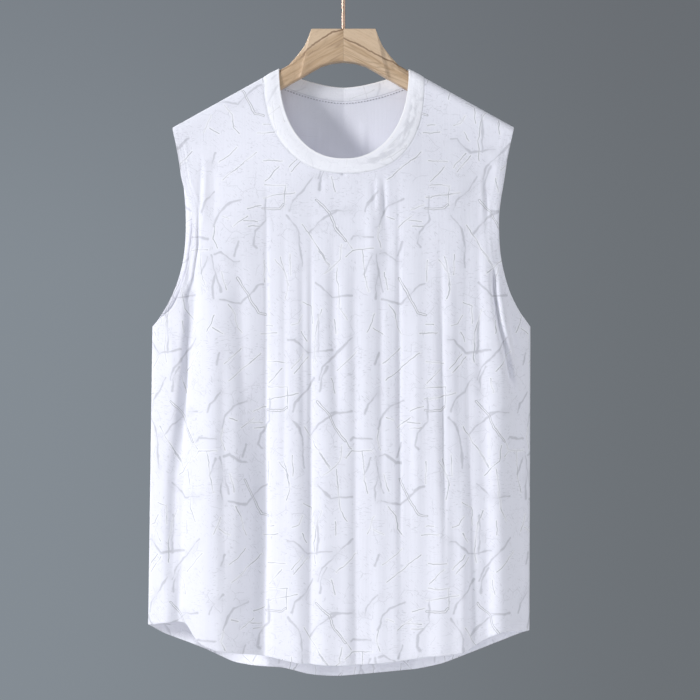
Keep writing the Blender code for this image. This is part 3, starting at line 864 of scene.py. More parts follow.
# Sewing
sewing = {
    "thread": 0.00017,  # half a thread's thickness
    "boldThread": 0.00065,  # the chain stitch inside the neck
    "boldPitch": 0.0036,
    "boldLength": 0.0022,
    "pitch": 0.0032,
    "length": 0.0025,
    "hemRows": (0.0075, 0.0112),
    "armholeRows": (0.0048, 0.0082),
    "neckRow": 0.0022,
    "threadSides": 6,
    "hemSteps": 420,
    "hemReach": 0.985,
    "armholeSteps": 260,
    "neckSteps": 120,
    "neckStart": 0.03,
    "clearTop": 0.004,
    "clearArmpit": 0.001,
    "clearRidge": 0.002,
}
StitchRing = namedtuple("StitchRing", "place size lift")
stitchRings = [  # the ends dip into the cloth and the middle stands proud
    StitchRing(0, 0.4, -0.5), StitchRing(0.22, 1, 0.5),
    StitchRing(0.78, 1, 0.5), StitchRing(1, 0.4, -0.5),
]


class Stitches:
    def __init__(self, radius=sewing["thread"]):
        self.radius = radius
        self.points = []
        self.faces = []

    def add(self, start, end, normal):
        n = sewing["threadSides"]
        radius = self.radius
        along = (end - start).normalized()
        across = along.cross(normal).normalized()
        first = len(self.points)
        for t, size, lift in stitchRings:
            middle = start.lerp(end, t) + normal * radius * lift
            for k in range(n):
                angle = 2 * math.pi * k / n
                offset = across * math.cos(angle) + normal * math.sin(angle)
                self.points.append(middle + offset * radius * size)
        for r in range(3):
            for k in range(n):
                m = (k + 1) % n
                a = first + r * n
                self.faces.append([a + k, a + m, a + n + m, a + n + k])
        self.faces.append([first + n - 1 - k for k in range(n)])
        self.faces.append([first + 3 * n + k for k in range(n)])

    def row(self, path, pitch=sewing["pitch"], length=sewing["length"]):
        # path is a list of (point on the cloth, normal), close together
        walked, due = 0.0, pitch / 2
        start = None
        for (a, normal), (b, _) in zip(path, path[1:]):
            gap = (b - a).length
            while walked + gap >= due:
                place = a.lerp(b, (due - walked) / gap)
                if start is None:
                    start = place
                    due += length
                else:
                    self.add(start, place, normal)
                    start = None
                    due += pitch - length
            walked += gap

    def piece(self, name, slot, finish):
        mesh = bpy.data.meshes.new(name)
        mesh.from_pydata([tuple(p) for p in self.points], [], self.faces)
        mesh.shade_smooth()
        mesh.materials.append(finish.owner)
        print(f"{name}: {len(self.faces)} faces")
        return addPiece(name, mesh, slot)


def sewnPath(name, places, side=1):
    # the points of a seam on the cloth's outside (side 1) or inside (-1)
    path = []
    for x, z in places:
        normal = clothNormal(name, x, z) * side
        path.append((clothPoint(name, x, z) + normal * panelCloth["half"], normal))
    return path


def hemPlaces(name, up):
    steps, reach = sewing["hemSteps"], sewing["hemReach"]
    places = []
    for i in range(steps + 1):
        across = -reach + 2 * reach * i / steps
        z = hemZ(name, across) + up
        places.append((sway(z) + across * edgeHalf(z), z))
    return places


def armholePlaces(name, hand, inset):
    steps = sewing["armholeSteps"]
    top = ridge(outline["shoulderHalf"]) - sewing["clearTop"]
    low = outline["armpitZ"] + sewing["clearArmpit"]
    places = []
    for i in range(steps + 1):
        z = low + (top - low) * (i / steps) ** 1.4
        x = sway(z) + hand * (armholeHalf(name, hand, z) - inset)
        if ridge(x) - z > sewing["clearRidge"]:
            places.append((x, z))
    return places


def neckPlaces(name, out):
    steps = sewing["neckSteps"]
    side, start = sides[name], sewing["neckStart"]
    places = []
    for hand in (-1, 1):
        half = []
        for i in range(steps + 1):
            down = (start + (1 - start) * i / steps) ** 0.9
            wide, drop = neckForm["seamHalf"] + out, side.neckDrop + out * 0.45
            half.append(neckEdge(name, wide, drop, hand, down))
        places += half if hand < 0 else half[::-1][1:]
    return places


def buildSewing(finish, chainFinish):
    pieces = {}
    for name in ("front", "back"):
        hem, armholes, neck = Stitches(), Stitches(), Stitches()
        for up in sewing["hemRows"]:
            hem.row(sewnPath(name, hemPlaces(name, up)))
        for inset in sewing["armholeRows"]:
            for hand in (-1, 1):
                armholes.row(sewnPath(name, armholePlaces(name, hand, inset)))
        neck.row(sewnPath(name, neckPlaces(name, sewing["neckRow"])))
        pieces[name] = [
            hem.piece(f"{name}HemStitches", "cloth", finish),
            armholes.piece(f"{name}ArmholeStitches", "cloth", finish),
            neck.piece(f"{name}NeckStitches", "cloth", finish),
        ]
    chain = Stitches(sewing["boldThread"])
    chainPath = sewnPath("back", neckPlaces("back", sewing["neckRow"]), -1)
    chain.row(chainPath, sewing["boldPitch"], sewing["boldLength"])
    pieces["back"].append(chain.piece("neckChainStitches", "cloth", chainFinish))
    return pieces


# The hanger
hangerWood = {
    "armHalfThick": 0.0090,
    "armBelowCloth": 0.0017,
    "armDeep": 0.0210,
    "blockHalfThick": 0.0110,
    "blockCorner": 0.0018,
    "blockTop": -0.1000,
    "jointHalfGap": 0.00004,
    "bottomCorner": 0.0025,
    "topCornerSteps": 8,
    "bottomCornerSteps": 5,
    "edgeRound": 0.0007,
    "jointRound": 0.15,  # share of that at the joint between the two halves
    "shankHole": 0.0024,
    "shankBottom": -0.1303,
    "roundedFrom": 38,  # degrees between the faces at an edge
    "shadedTo": 22,
}
WoodSection = namedtuple("WoodSection", "topX topZ bottomX bottomZ half corner")
blockPlaces = {  # across at the top: across and height at the bottom
    hangerWood["jointHalfGap"]: (hangerWood["jointHalfGap"], -0.1385),
    0.0110: (0.0135, -0.1398),
    0.0210: (0.0265, -0.1437),
    0.0300: (0.0390, -0.1507),
    0.0378: (0.0510, -0.1581),
}
slopeSections = [
    WoodSection(0.0416, -0.1100, 0.0530, -0.1592, 0.0090, 0.0022),
    WoodSection(0.0461, -0.1200, 0.0560, -0.1609, 0.0082, 0.0030),
    WoodSection(0.0548, -0.1312, 0.0590, -0.1626, 0.0080, 0.0050),
    WoodSection(0.0650, -0.1422, 0.0620, -0.1643, 0.0083, 0.0070),
]
armStations = {0.076: 1.0, 0.110: 1.0, 0.150: 1.0, 0.178: 1.0, 0.188: 0.94, 0.193: 0.72}


def woodSections():
    w = hangerWood
    size = w["blockHalfThick"], w["blockCorner"]
    sections = [WoodSection(x, w["blockTop"], *low, *size) for x, low in blockPlaces.items()]
    sections += slopeSections
    slope = math.atan(outline["shoulderSlope"])
    down = Vector((-math.sin(slope), -math.cos(slope)))
    for x, shrink in armStations.items():
        middle = Vector((x, ridge(x) - w["armBelowCloth"])) + down * w["armDeep"] / 2
        top, bottom = (middle + down * w["armDeep"] / 2 * shrink * s for s in (-1, 1))
        half = w["armHalfThick"] * shrink
        sections.append(WoodSection(top.x, top.y, bottom.x, bottom.y, half, half * 0.98))
    return sections


def woodRing(section):
    top = Vector((section.topX, 0, section.topZ))
    bottom = Vector((section.bottomX, 0, section.bottomZ))
    down = (bottom - top).normalized()
    deep = (bottom - top).length
    across = Vector((0, 1, 0))
    low = hangerWood["bottomCorner"]
    topSteps, lowSteps = hangerWood["topCornerSteps"], hangerWood["bottomCornerSteps"]
    corners = (
        (-1, section.corner, section.corner, topSteps, 180, 90),
        (1, section.corner, section.corner, topSteps, 90, 0),
        (1, low, deep - low, lowSteps, 0, -90),
        (-1, low, deep - low, lowSteps, -90, -180),
    )
    ring = []
    for hand, radius, centreDown, steps, first, last in corners:
        centre = top + down * centreDown + across * hand * (section.half - radius)
        for step in range(steps + 1):
            angle = math.radians(first + (last - first) * step / steps)
            ring.append(centre + (across * math.cos(angle) - down * math.sin(angle)) * radius)
    return ring


def shankDrill():
    w = hangerWood
    top, bottom = w["blockTop"] + 0.010, w["shankBottom"]
    mesh = bpy.data.meshes.new("shankDrill")
    shape = bmesh.new()
    bmesh.ops.create_cone(
        shape, cap_ends=True, segments=48, radius1=w["shankHole"], radius2=w["shankHole"],
        depth=top - bottom,
    )
    bmesh.ops.translate(shape, verts=shape.verts, vec=(0, 0, (top + bottom) / 2))
    shape.to_mesh(mesh)
    shape.free()
    drill = bpy.data.objects.new("shankDrill", mesh)
    scene.collection.objects.link(drill)
    return drill


def buildArm(name, hand, node, drill, finish):
    rings = [woodRing(section) for section in woodSections()]
    size = len(rings[0])
    points = [Vector((hand * p.x, p.y, p.z)) for ring in rings for p in ring]
    faces = [list(range(size)), [len(points) - 1 - i for i in range(size)]]
    for r in range(len(rings) - 1):
        for k in range(size):
            n = (k + 1) % size
            faces.append([r * size + k, (r + 1) * size + k, (r + 1) * size + n, r * size + n])
    shape = bmesh.new()
    verts = [shape.verts.new(p) for p in points]
    for face in faces:
        shape.faces.new([verts[i] for i in face])
    bmesh.ops.remove_doubles(shape, verts=shape.verts, dist=0.00002)
    bmesh.ops.recalc_face_normals(shape, faces=shape.faces)
    rounding = shape.edges.layers.float.new("bevel_weight_edge")
    for edge in shape.edges:
        joint = max(abs(v.co.x) for v in edge.verts) < hangerWood["jointHalfGap"] * 1.5
        if edge.calc_face_angle(0) > math.radians(hangerWood["roundedFrom"]):
            edge[rounding] = hangerWood["jointRound"] if joint else 1.0
    rough = bpy.data.meshes.new(name + "Rough")
    shape.to_mesh(rough)
    shape.free()
    blank = bpy.data.objects.new(name + "Rough", rough)
    scene.collection.objects.link(blank)
    bevel = blank.modifiers.new("rounded", "BEVEL")
    bevel.width = hangerWood["edgeRound"]
    bevel.segments = 5
    bevel.limit_method = "WEIGHT"
    cut = blank.modifiers.new("shankHole", "BOOLEAN")
    cut.operation = "DIFFERENCE"
    cut.object = drill
    bpy.context.view_layer.update()
    evaluated = blank.evaluated_get(bpy.context.evaluated_depsgraph_get())
    mesh = bpy.data.meshes.new_from_object(evaluated)
    mesh.name = name
    bpy.data.objects.remove(blank)
    mesh.shade_smooth()
    mesh.set_sharp_from_angle(angle=math.radians(hangerWood["shadedTo"]))
    mesh.materials.clear()
    mesh.materials.append(finish.owner)
    return addPiece(name, mesh, "wood", node)


# The hook
hookWire = {
    "half": 0.0021,
    "innerRadius": 0.0200,
    "shankTop": -0.0630,
    "shankBottom": -0.1300,
    "arcEnd": 205,  # degrees round the hook from its right side
    "bendSteps": 28,
    "bendEase": 0.15,  # the bend starts slowly
    "arcSteps": 84,
    "tip": 0.0021,  # the wire's end is rounded over this length
    "tipSteps": 6,
}


def hookLine():
    h = hookWire
    bend = h["innerRadius"] + h["half"]
    centreZ = -h["innerRadius"]
    line = [Vector((0, 0, h["shankBottom"])), Vector((0, 0, -0.1)), Vector((0, 0, h["shankTop"]))]
    for i in range(1, h["bendSteps"]):
        t = i / h["bendSteps"]
        risen = t * (1 - h["bendEase"]) + h["bendEase"] * t * t
        z = h["shankTop"] + (centreZ - h["shankTop"]) * risen
        line.append(Vector((bend * smooth(t), 0, z)))
    for i in range(h["arcSteps"] + 1):
        angle = math.radians(h["arcEnd"] * i / h["arcSteps"])
        line.append(Vector((bend * math.cos(angle), 0, centreZ + bend * math.sin(angle))))
    return line


def buildHook(finish):
    curve = bpy.data.curves.new("hookWire", "CURVE")
    curve.dimensions = "3D"
    curve.bevel_depth = hookWire["half"]
    curve.bevel_resolution = 8
    curve.use_fill_caps = True
    line = hookLine()
    way = (line[-1] - line[-2]).normalized()
    last = line[-1]
    line[-1] = last - way * hookWire["tip"]
    sizes = [1.0] * len(line)
    for k in range(1, hookWire["tipSteps"] + 1):
        angle = math.pi / 2 * k / hookWire["tipSteps"]
        line.append(last - way * hookWire["tip"] * (1 - math.sin(angle)))
        sizes.append(max(math.cos(angle), 0.06))
    spline = curve.splines.new("POLY")
    spline.points.add(len(line) - 1)
    for point, place, size in zip(spline.points, line, sizes):
        point.co = (*place, 1)
        point.radius = size
    curve.materials.append(finish.owner)
    return addPiece("hookWire", curve, "metal", "hanger_hook")


# The print: a marbled vein repeat, charted in millimetres right and down
printRepeat = {
    "wide": 0.1881,
    "long": 0.2356,
    "left": -0.2259,  # where the repeat starts on the front
    "top": -0.2691,
    "broadHalf": 0.00115,
    "fineHalf": 0.00052,
    "pairedGap": 0.0010,
    "broadInk": 0.60,
    "fineInk": 0.90,
    "paintedHalo": 0.0013,  # painted highlight: paler cloth beside a line, as if its raised edges caught the light
    "ink": (0.47, 0.475, 0.52),
    "reach": 0.006,  # nothing is drawn further than this from a vein
    "wobble": 0.005,  # how far the lines wander
    "looseWobble": 0.009,
    "roughEdge": 0.0016,
    "swelling": 0.0044,  # broad veins grow and shrink
}
knitForm = {
    "wale": 0.0011,
    "course": 0.0009,
    "raised": 0.00006,
    "slubRaised": 0.00025,
    "pullRaised": 0.0007,  # small puckers beside a seam
}
bandLook = {  # each from nothing to full, in metres round the neck from its left or out from the seam
    "smudgeStart": (0.015, 0.05),
    "smudgeEnd": (0.175, 0.135),
    "smudgeLow": (0.0035, 0.0075),
    "smudgeHigh": (0.0165, 0.0125),
    # painted shade in the seam, then a painted highlight along the folded edge
    "paintedSeamShade": (0.0013, 0.0003),
    "paintedFoldHighlight": (0.0166, 0.0182),
}
# painted light: a glow on the inside cloth, from nothing at the first height to full below the second
paintedGlow = {"height": (-0.190, -0.262), "strength": 0.09}
broadVeins = [
    [(191, 13), (181, 29), (169, 41), (165, 53)],
    [(109, 40), (92, 47), (84, 56), (78, 72)],
    [(137, 37), (137, 64), (125, 78), (123, 92), (126, 96)],
    [(162, 59), (172, 72), (176, 84), (178, 119)],
    [(187, 80), (197, 68), (206, 61), (218, 54)],
    [(212, 54), (236, 53)],
    [(106, 90), (101, 106)],
    [(62, 127), (70, 107)],
    [(79, 104), (86, 102), (99, 112), (106, 112)],
    [(75, 105), (78, 125), (84, 148)],
    [(78, 127), (74, 142), (75, 156)],
    [(132, 139), (127, 140), (115, 152), (105, 162), (82, 157)],
    [(195, 137), (212, 154), (236, 152)],
    [(46, 86), (49, 83), (71, 85)],
    [(160, 204), (167, 204), (183, 220), (189, 219), (212, 216)],
    [(236, 202), (214, 224), (202, 236), (197, 251)],
    [(63, 54), (66, 44), (78, 31)],
    [(79, 220), (75, 233)],
    [(196, 175), (197, 195), (196, 219)],
    [(207, 0), (200, 15), (199, 29)],
]
fineVeins = [
    [(179, 70), (210, 117)],
    [(134, 38), (140, 38)],
    [(148, 111), (160, 127), (161, 144), (158, 156)],
    [(204, 127), (222, 111), (224, 93)],
    [(40, 107), (48, 99), (71, 98)],
    [(177, 160), (188, 165), (189, 185)],
    [(201, 169), (195, 183), (192, 206), (193, 230)],
    [(105, 214), (84, 232)],
    [(127, 220), (88, 252)],
    [(216, 181), (217, 197)],
    [(218, 120), (222, 167), (230, 181)],
    [(136, 24), (160, 24)],
    [(140, 37), (171, 32)],
    [(113, 65), (128, 66)],
    [(117, 72), (130, 71)],
    [(128, 197), (148, 196)],
    [(79, 72), (77, 86), (81, 97)],
    [(85, 125), (90, 146)],
    [(60, 99), (63, 134), (67, 148)],
    [(10, 101), (22, 119)],
    [(30, 241), (53, 218)],
    [(137, 19), (144, 12), (153, 2)],
    [(117, 52), (132, 47)],
    [(135, 230), (157, 231)],
    [(134, 187), (143, 187)],
    [(154, 108), (162, 140)],
    [(165, 104), (165, 128)],
    [(177, 175), (172, 185), (164, 187)],
    [(176, 195), (182, 206)],
    [(159, 25), (159, 49)],
    [(135, 111), (134, 136)],
    [(90, 163), (98, 175), (101, 190), (106, 197)],
    [(74, 175), (66, 195)],
    [(72, 190), (84, 197)],
    [(183, 224), (167, 243)],
    [(178, 221), (164, 238)],
    [(24, 14), (28, 31)],
    [(30, 72), (47, 97)],
    [(88, 60), (96, 63)],
    [(101, 72), (117, 60)],
]
pairedVeins = [
    [(195, 41), (210, 56), (216, 72), (228, 88)],
    [(103, 132), (125, 173), (134, 175)],
    [(134, 51), (154, 51), (158, 47)],
]


def strokeAway(near, along):
    # distance from a straight stroke; near is measured from the stroke's start
    share = near.vector("DOT_PRODUCT", tuple(along / along.length_squared), output="Value")
    onStroke = share.most(0.0).least(1.0).along(along)
    return near.vector("DISTANCE", onStroke, output="Value")


def veinAway(flat, tile, veins):
    # distance from a place to the nearest vein of the repeat
    wide, long = printRepeat["wide"], printRepeat["long"]
    reach = printRepeat["reach"]
    nearest = None
    for vein in veins:
        for (ax, ay), (bx, by) in zip(vein, vein[1:]):
            start = Vector((ax / 1000 % wide, -ay / 1000 % long, 0))
            along = Vector(((bx - ax) / 1000, (ay - by) / 1000, 0))
            end = start + along
            whole = min(start.x, end.x, start.y, end.y) > reach
            if whole and max(start.x, end.x) < wide - reach and max(start.y, end.y) < long - reach:
                near = tile.vector("SUBTRACT", start)
            else:
                high = (along.x / 2 + wide / 2, along.y / 2 + long / 2, 1)
                low = (along.x / 2 - wide / 2, along.y / 2 - long / 2, -1)
                near = flat.vector("SUBTRACT", start).vector("WRAP", high, low)
            away = strokeAway(near, along)
            nearest = away if nearest is None else nearest.least(away)
    return nearest


def crackle(f, place, scale):
    # distance from a place to the nearest line of an uneven net
    settings = {"voronoi_dimensions": "2D", "feature": "DISTANCE_TO_EDGE"}
    away = f.node("ShaderNodeTexVoronoi", settings, {"Vector": place, "Scale": scale}, "Distance")
    return away / scale


def dashes(f, flat, turn, size, low):
    # short straight marks, all at one angle to the cloth
    place = f.node("ShaderNodeMapping", {}, {"Vector": flat, "Rotation": (0, 0, turn)})
    return f.noise(f.stretched(place, *size, 1), 1.0, 1).step(low, low + 0.07)


def clothFinish(name, colour, printShare, turnedShare=None, isBand=False):
    f = Finish(name)
    flat = f.node("ShaderNodeUVMap", {"uv_map": "flat"})
    edge = f.node("ShaderNodeAttribute", {"attribute_name": "edgeAway"}, {}, "Fac")
    u, v, _ = f.parts(flat)
    p, k, b = printRepeat, knitForm, bandLook
    if turnedShare:  # the printed side shows where the hem is turned under
        turned = edge.step(panelCloth["hemTurn"], panelCloth["hemTurn"] - 0.0005)
        printShare = turned * (turnedShare - printShare) + printShare

    wobble = f.noise(flat, 70, 2, output="Color").vector("SUBTRACT", (0.5, 0.5, 0.5))
    drawn = flat.vector("ADD", wobble.vector("MULTIPLY", (p["wobble"], p["wobble"], 0)))
    drawn = drawn.vector("SUBTRACT", (p["left"], p["top"], 0))
    tile = drawn.vector("WRAP", (p["wide"], p["long"], 1), (0, 0, -1))
    uneven = f.noise(flat, 170, 3)
    blot = f.noise(flat, 42, 2)
    broadAway = veinAway(drawn, tile, broadVeins)
    broad = broadAway + (uneven - 0.5) * p["roughEdge"] + (blot - 0.5) * p["swelling"]
    broadMask = broad.step(p["broadHalf"] * 1.7, 0.0)
    fine = veinAway(drawn, tile, fineVeins)
    fineMask = fine.step(p["fineHalf"] * 1.5, p["fineHalf"] * 0.4) * (blot.step(0.62, 0.42) * 0.6 + 0.4)
    pairedAway = veinAway(drawn, tile, pairedVeins)
    pairedMask = (pairedAway - p["pairedGap"]).size().step(p["fineHalf"] * 1.3, p["fineHalf"] * 0.4)
    ink = (broadMask * p["broadInk"]).most(fineMask.most(pairedMask) * p["fineInk"])
    # painted highlight beside the fine and paired lines
    paintedHalo = fine.least(pairedAway).step(p["paintedHalo"] * 1.7, p["paintedHalo"] * 0.7)

    # thin scribbled lines, short dashes and specks between the veins
    wander = p["looseWobble"]
    loose = flat.vector("ADD", wobble.vector("MULTIPLY", (wander, wander, 0)))
    region = f.noise(flat, 24, 1)
    net = crackle(f, loose, 60).step(0.0005, 0.0001) * blot.step(0.52, 0.60)
    level = dashes(f, loose, 0.05, (170, 900), 0.60) * region.step(0.47, 0.40)
    upright = dashes(f, loose, 0.0, (950, 130), 0.62) * blot.step(0.44, 0.36)
    leaning = dashes(f, flat, 0.75, (160, 950), 0.62) * region.step(0.53, 0.58)
    falling = dashes(f, flat, -0.9, (170, 1000), 0.64) * blot.step(0.54, 0.60)
    specks = f.noise(flat, 760, 1).step(0.66, 0.74) * uneven.step(0.50, 0.60)
    drawnLoose = (net * 0.36).most(level.most(upright) * 0.40).most(leaning.most(falling) * 0.42)
    ink = ink.most(drawnLoose.most(specks * 0.36)) * printShare
    smudge = broadAway.step(0.010, 0.001) * blot.step(0.44, 0.66) * 0.15 * printShare
    if isBand:  # the print is smudged where the band was pressed, right of its middle
        pressed = u.step(*b["smudgeStart"]) * u.step(*b["smudgeEnd"])
        inner = edge.step(*b["smudgeLow"]) * edge.step(*b["smudgeHigh"])
        cloud = f.noise(f.stretched(flat, 62, 190, 1), 1.0, 3).step(0.34, 0.58)
        smudge = smudge.most(cloud * pressed * inner * 0.42)

    slub = f.noise(f.stretched(flat, 420, 14, 1), 1.0, 2)
    shade = f.mix((slub - 0.5) * 0.6 + 0.25, colour, tuple(c * 0.92 for c in colour))
    # painted highlight: the cloth is paler beside the fine and paired lines
    shade = f.mix(paintedHalo * 0.55 * printShare, shade, tuple(min(c * 1.12, 0.98) for c in colour))
    printed = f.mix(ink.most(smudge).clamped(), shade, p["ink"])
    if isBand:  # painted shade: darker in the seam; painted highlight: paler along the folded edge
        printed = f.mix(edge.step(*b["paintedSeamShade"]) * 0.30, printed, p["ink"])
        printed = f.mix(edge.step(*b["paintedFoldHighlight"]) * 0.75, printed, (0.97, 0.97, 0.99))

    wale = (u * (2 * math.pi / k["wale"])).cosine()
    course = (v * (2 * math.pi / k["course"]) + wale * 1.3).cosine()
    knit = wale * 0.6 + course * 0.4
    seamPull = edge.step(0.0155, 0.011) * edge.step(0.0005, 0.005)
    pull = f.noise(f.stretched(flat, 210, 210, 1), 1.0, 2) * seamPull
    small = f.bump(knit * k["raised"] + slub * k["slubRaised"], 0.6)
    normal = f.bump(pull * k["pullRaised"], 0.8, small)
    f.set(Base_Color=printed, Roughness=slub * 0.12 + 0.74, Normal=normal)
    f.set(Sheen_Weight=0.25, Sheen_Roughness=0.5, Specular_IOR_Level=0.3)
    if turnedShare:  # painted light: the inside cloth glows a little below the hanger, for the light that comes through the thin jersey
        _, _, z = f.parts(f.node("ShaderNodeTexCoord", {}, {}, "Object"))
        paintedGlowColour = f.mix(z.step(*paintedGlow["height"]), (0, 0, 0), colour)
        f.set(Emission_Color=paintedGlowColour, Emission_Strength=paintedGlow["strength"])
    return f


def threadFinish(name, pale, dark):
    f = Finish(name)
    place = f.node("ShaderNodeTexCoord", {}, {}, "Object")
    twist = f.noise(f.stretched(place, 2600, 2600, 2600), 1.0, 1)
    f.set(Base_Color=f.mix(twist, pale, dark))
    f.set(Roughness=twist * 0.2 + 0.6, Normal=f.bump(twist * 0.0001))
    return f


# Growth lines of the wood, charted in millimetres right of the middle and below the origin
woodGrain = {
    "pale": (0.67, 0.505, 0.345),
    "middle": (0.50, 0.340, 0.200),
    "dark": (0.20, 0.112, 0.056),
    # browner below a sloping line: its height, how much it falls outwards, and how brown
    "under": {-1: (0.1010, 0.56, 0.55), 1: (0.1118, 0.47, 0.20)},
    "bold": {
        -1: [[(0, 100.9), (-13.9, 104.4), (-25.7, 112.3), (-34.6, 118.3), (-40.5, 123), (-47.5, 131)],
             [(-46, 131), (-61, 142.5), (-76, 150), (-95, 161)]],
        1: [[(0, 111.3), (15.7, 118.2), (31.5, 127.1), (47.2, 135), (63, 141.5), (78, 149), (100, 162)]],
    },
    "faint": {
        -1: [[(0, 118), (-17, 124.5), (-38, 137.5), (-56, 150), (-80, 164)],
             [(-11, 113), (-26, 121), (-42, 132)], [(0, 128), (-20, 133), (-44, 148)]],
        1: [[(2, 121.5), (25, 132), (48, 145), (68, 158)], [(0, 131), (22, 137), (42, 149)],
            [(4, 117), (28, 129), (55, 143), (90, 162)]],
    },
}


def grainAway(place, lines):
    nearest = None
    for line in lines:
        for (ax, az), (bx, bz) in zip(line, line[1:]):
            along = Vector(((bx - ax) / 1000, 0, (az - bz) / 1000))
            away = strokeAway(place.vector("SUBTRACT", (ax / 1000, 0, -az / 1000)), along)
            nearest = away if nearest is None else nearest.least(away)
    return nearest


def woodFinish(name, hand):
    # pale wood with uneven grain that runs along the arm
    f = Finish(name)
    g = woodGrain
    place = f.node("ShaderNodeTexCoord", {}, {}, "Object")
    slope = math.atan(outline["shoulderSlope"])
    turned = f.node(
        "ShaderNodeMapping", {"vector_type": "POINT"},
        {"Vector": place, "Rotation": (0, -hand * slope, 0), "Location": (0, 0, hand * 0.37)},
    )
    drift = f.noise(f.stretched(turned, 7, 24, 50), 1.0, 2, 0.45)
    arcs = (drift * 90).cosine() * 0.5 + 0.5
    streaks = f.noise(f.stretched(turned, 16, 260, 420), 1.0, 3)
    fibre = f.noise(f.stretched(turned, 55, 1400, 1400), 1.0, 3)
    pores = f.noise(f.stretched(turned, 120, 3200, 3200), 1.0, 1).step(0.62, 0.72)
    cloud = f.noise(f.stretched(turned, 26, 60, 90), 1.0, 1)
    sawn = place.vector("MULTIPLY", (1, 0, 1))
    wavy = f.noise(place, 130, 2, output="Color").vector("SUBTRACT", (0.5, 0.5, 0.5))
    sawn = sawn.vector("ADD", wavy.vector("MULTIPLY", (0.003, 0, 0.003)))
    bold = grainAway(sawn, g["bold"][hand]).step(0.0014, 0.0004)
    faint = grainAway(sawn, g["faint"][hand]).step(0.0012, 0.0002)
    lines = (bold * (cloud.step(0.2, 0.55) * 0.55 + 0.45)).most(faint * cloud.step(0.60, 0.35) * 0.45)
    x, _, z = f.parts(place)
    height, fall, brown = g["under"][hand]
    under = (z + x.size() * fall + height).step(0.0015, -0.0030)
    dark = (arcs ** 4 * cloud.step(0.40, 0.62) * (under * 0.30 + 0.08)).most(lines)
    tone = f.mix(streaks.step(0.38, 0.66) * (under * 0.70 + 0.20), g["pale"], g["middle"])
    tone = f.mix(under * brown, tone, g["middle"])
    tone = f.mix(dark * 0.85, tone, g["dark"])
    tone = f.mix(fibre.step(0.5, 0.9) * 0.35, tone, (0.74, 0.60, 0.43))
    tone = f.mix(pores * 0.35, tone, (0.26, 0.155, 0.085))
    normal = f.bump(fibre * 0.0002 - pores * 0.0002 - dark * 0.0001, 0.5)
    f.set(Base_Color=tone, Roughness=fibre * 0.18 + 0.42, Normal=normal)
    f.set(Coat_Weight=0.10, Coat_Roughness=0.35)
    return f


def copperFinish():
    f = Finish("copperWire")
    place = f.node("ShaderNodeTexCoord", {}, {}, "Object")
    drawn = f.noise(f.stretched(place, 900, 900, 60), 1.0, 2)
    cloud = f.noise(place, 90, 2)
    f.set(Base_Color=f.mix(cloud, (0.54, 0.39, 0.30), (0.43, 0.30, 0.23)))
    f.set(Metallic=1.0, Roughness=drawn * 0.16 + 0.42, Normal=f.bump(drawn * 0.00005, 0.4))
    return f


outsideCloth = clothFinish("printedJersey", (0.845, 0.850, 0.920), 1.0)
insideCloth = clothFinish("jerseyInside", (0.835, 0.840, 0.905), 0.10, 0.85)
bandCloth = clothFinish("neckbandJersey", (0.935, 0.940, 0.985), 0.45, isBand=True)
thread = threadFinish("sewingThread", (0.83, 0.83, 0.90), (0.74, 0.74, 0.80))
greyThread = threadFinish("greyThread", (0.56, 0.56, 0.61), (0.42, 0.42, 0.47))
print("finishes made")

frontPanel = buildPanel("front", "front_panel", [outsideCloth, insideCloth])
backPanel = buildPanel("back", "back_panel", [outsideCloth, insideCloth])
neckband = buildNeckband(bandCloth)
stitches = buildSewing(thread, greyThread)
print("cloth and sewing made")

drill = shankDrill()
buildArm("hangerLeftHalf", -1, "hanger_left", drill, woodFinish("paleWoodLeft", -1))
buildArm("hangerRightHalf", 1, "hanger_right", drill, woodFinish("paleWoodRight", 1))
bpy.data.objects.remove(drill)
buildHook(copperFinish())
print("hanger made")

# Studio
studio = {
    "floorZ": -1.60,
    "floorRadius": 1.5,
    "middle": (0, 0, -0.45),
    "lights": {  # watts, size, place
        "keyLeft": (136, 0.75, (-3.5, -2.05, 0.6)),
        "fillRight": (34, 1.6, (2.9, -0.9, -0.1)),
        "fillFront": (13, 2.0, (0.0, -3.2, -1.0)),
        "fillTop": (7, 1.4, (0.4, -1.3, 1.5)),
        "fillLow": (3, 0.8, (0.0, -0.5, -1.55)),
        "backLeft": (70, 1.0, (-2.6, 2.4, 0.8)),
    },
    "lightColour": (1.0, 0.995, 1.02),
    "wallLeft": (0.233, 0.264, 0.296),
    "wallRight": (0.150, 0.165, 0.180),
    "wallTop": (0.12, 0.125, 0.14),
    "wallReach": 0.15,  # the wall's colour changes over this much to either side
    "wallRise": (0.02, 0.16),  # and over this much upwards
    "viewDistance": 3.0,
    "viewPlace": (0.0077, -0.4794),  # across and up
    "viewWide": 0.829,  # what the picture takes in at the hanger
    "sensor": 36,
}


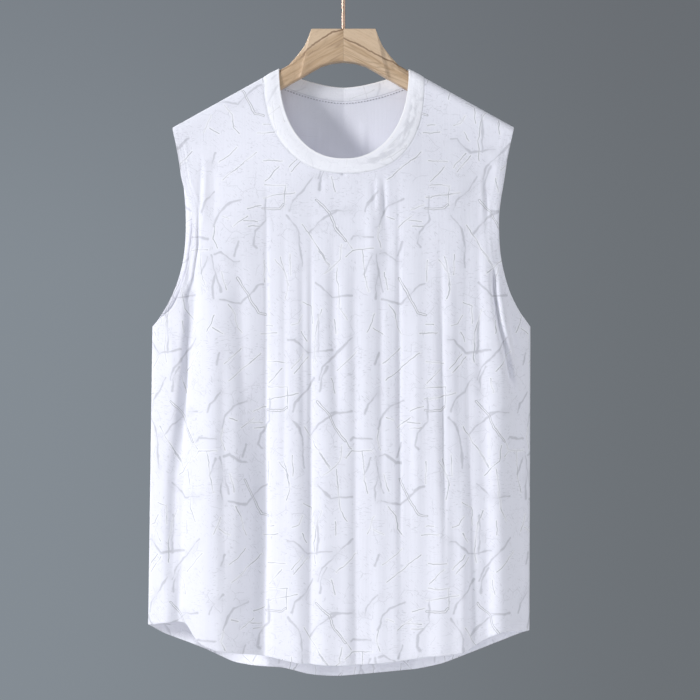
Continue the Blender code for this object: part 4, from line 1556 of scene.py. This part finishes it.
def buildFloor():
    mesh = bpy.data.meshes.new("paleFloor")
    shape = bmesh.new()
    bmesh.ops.create_circle(shape, cap_ends=True, segments=96, radius=studio["floorRadius"])
    shape.to_mesh(mesh)
    shape.free()
    floor = bpy.data.objects.new("paleFloor", mesh)
    floor.location.z = studio["floorZ"]
    scene.collection.objects.link(floor)
    f = Finish("paleFloor")
    grain = f.noise(f.node("ShaderNodeTexCoord", {}, {}, "Object"), 40, 3)
    f.set(Base_Color=f.mix(grain, (0.60, 0.61, 0.62), (0.55, 0.56, 0.57)), Roughness=0.7)
    mesh.materials.append(f.owner)


def areaLight(name, watts, size, place):
    light = bpy.data.lights.new(name, "AREA")
    light.energy = watts
    light.size = size
    light.color = studio["lightColour"]
    holder = bpy.data.objects.new(name, light)
    scene.collection.objects.link(holder)
    holder.location = place
    way = Vector(studio["middle"]) - Vector(place)
    holder.rotation_euler = way.to_track_quat("-Z", "Y").to_euler()
    holder.visible_camera = False


def buildWorld():
    # a plain grey wall, a little paler to the left and darker above
    wall = Finish("studioGrey", bpy.data.worlds)
    x, _, z = wall.parts(wall.node("ShaderNodeTexCoord", {}, {}, "Generated"))
    reach = studio["wallReach"]
    shade = wall.mix(x.step(-reach, reach), studio["wallLeft"], studio["wallRight"])
    shade = wall.mix(z.step(*studio["wallRise"]) * 0.30, shade, studio["wallTop"])
    wall.set("Background", Color=shade)
    scene.world = wall.owner


def buildCamera():
    # the photograph's view: level and straight on
    lens = bpy.data.cameras.new("photoView")
    lens.sensor_width = studio["sensor"]
    lens.lens = studio["sensor"] * studio["viewDistance"] / studio["viewWide"]
    camera = bpy.data.objects.new("photoView", lens)
    across, up = studio["viewPlace"]
    camera.location = (across, -studio["viewDistance"], up)
    camera.rotation_euler = (math.pi / 2, 0, 0)
    scene.collection.objects.link(camera)
    scene.camera = camera


buildFloor()
buildWorld()
buildCamera()
for name, (watts, size, place) in studio["lights"].items():
    areaLight(name, watts, size, place)
scene.view_settings.view_transform = "Standard"
print("studio made")
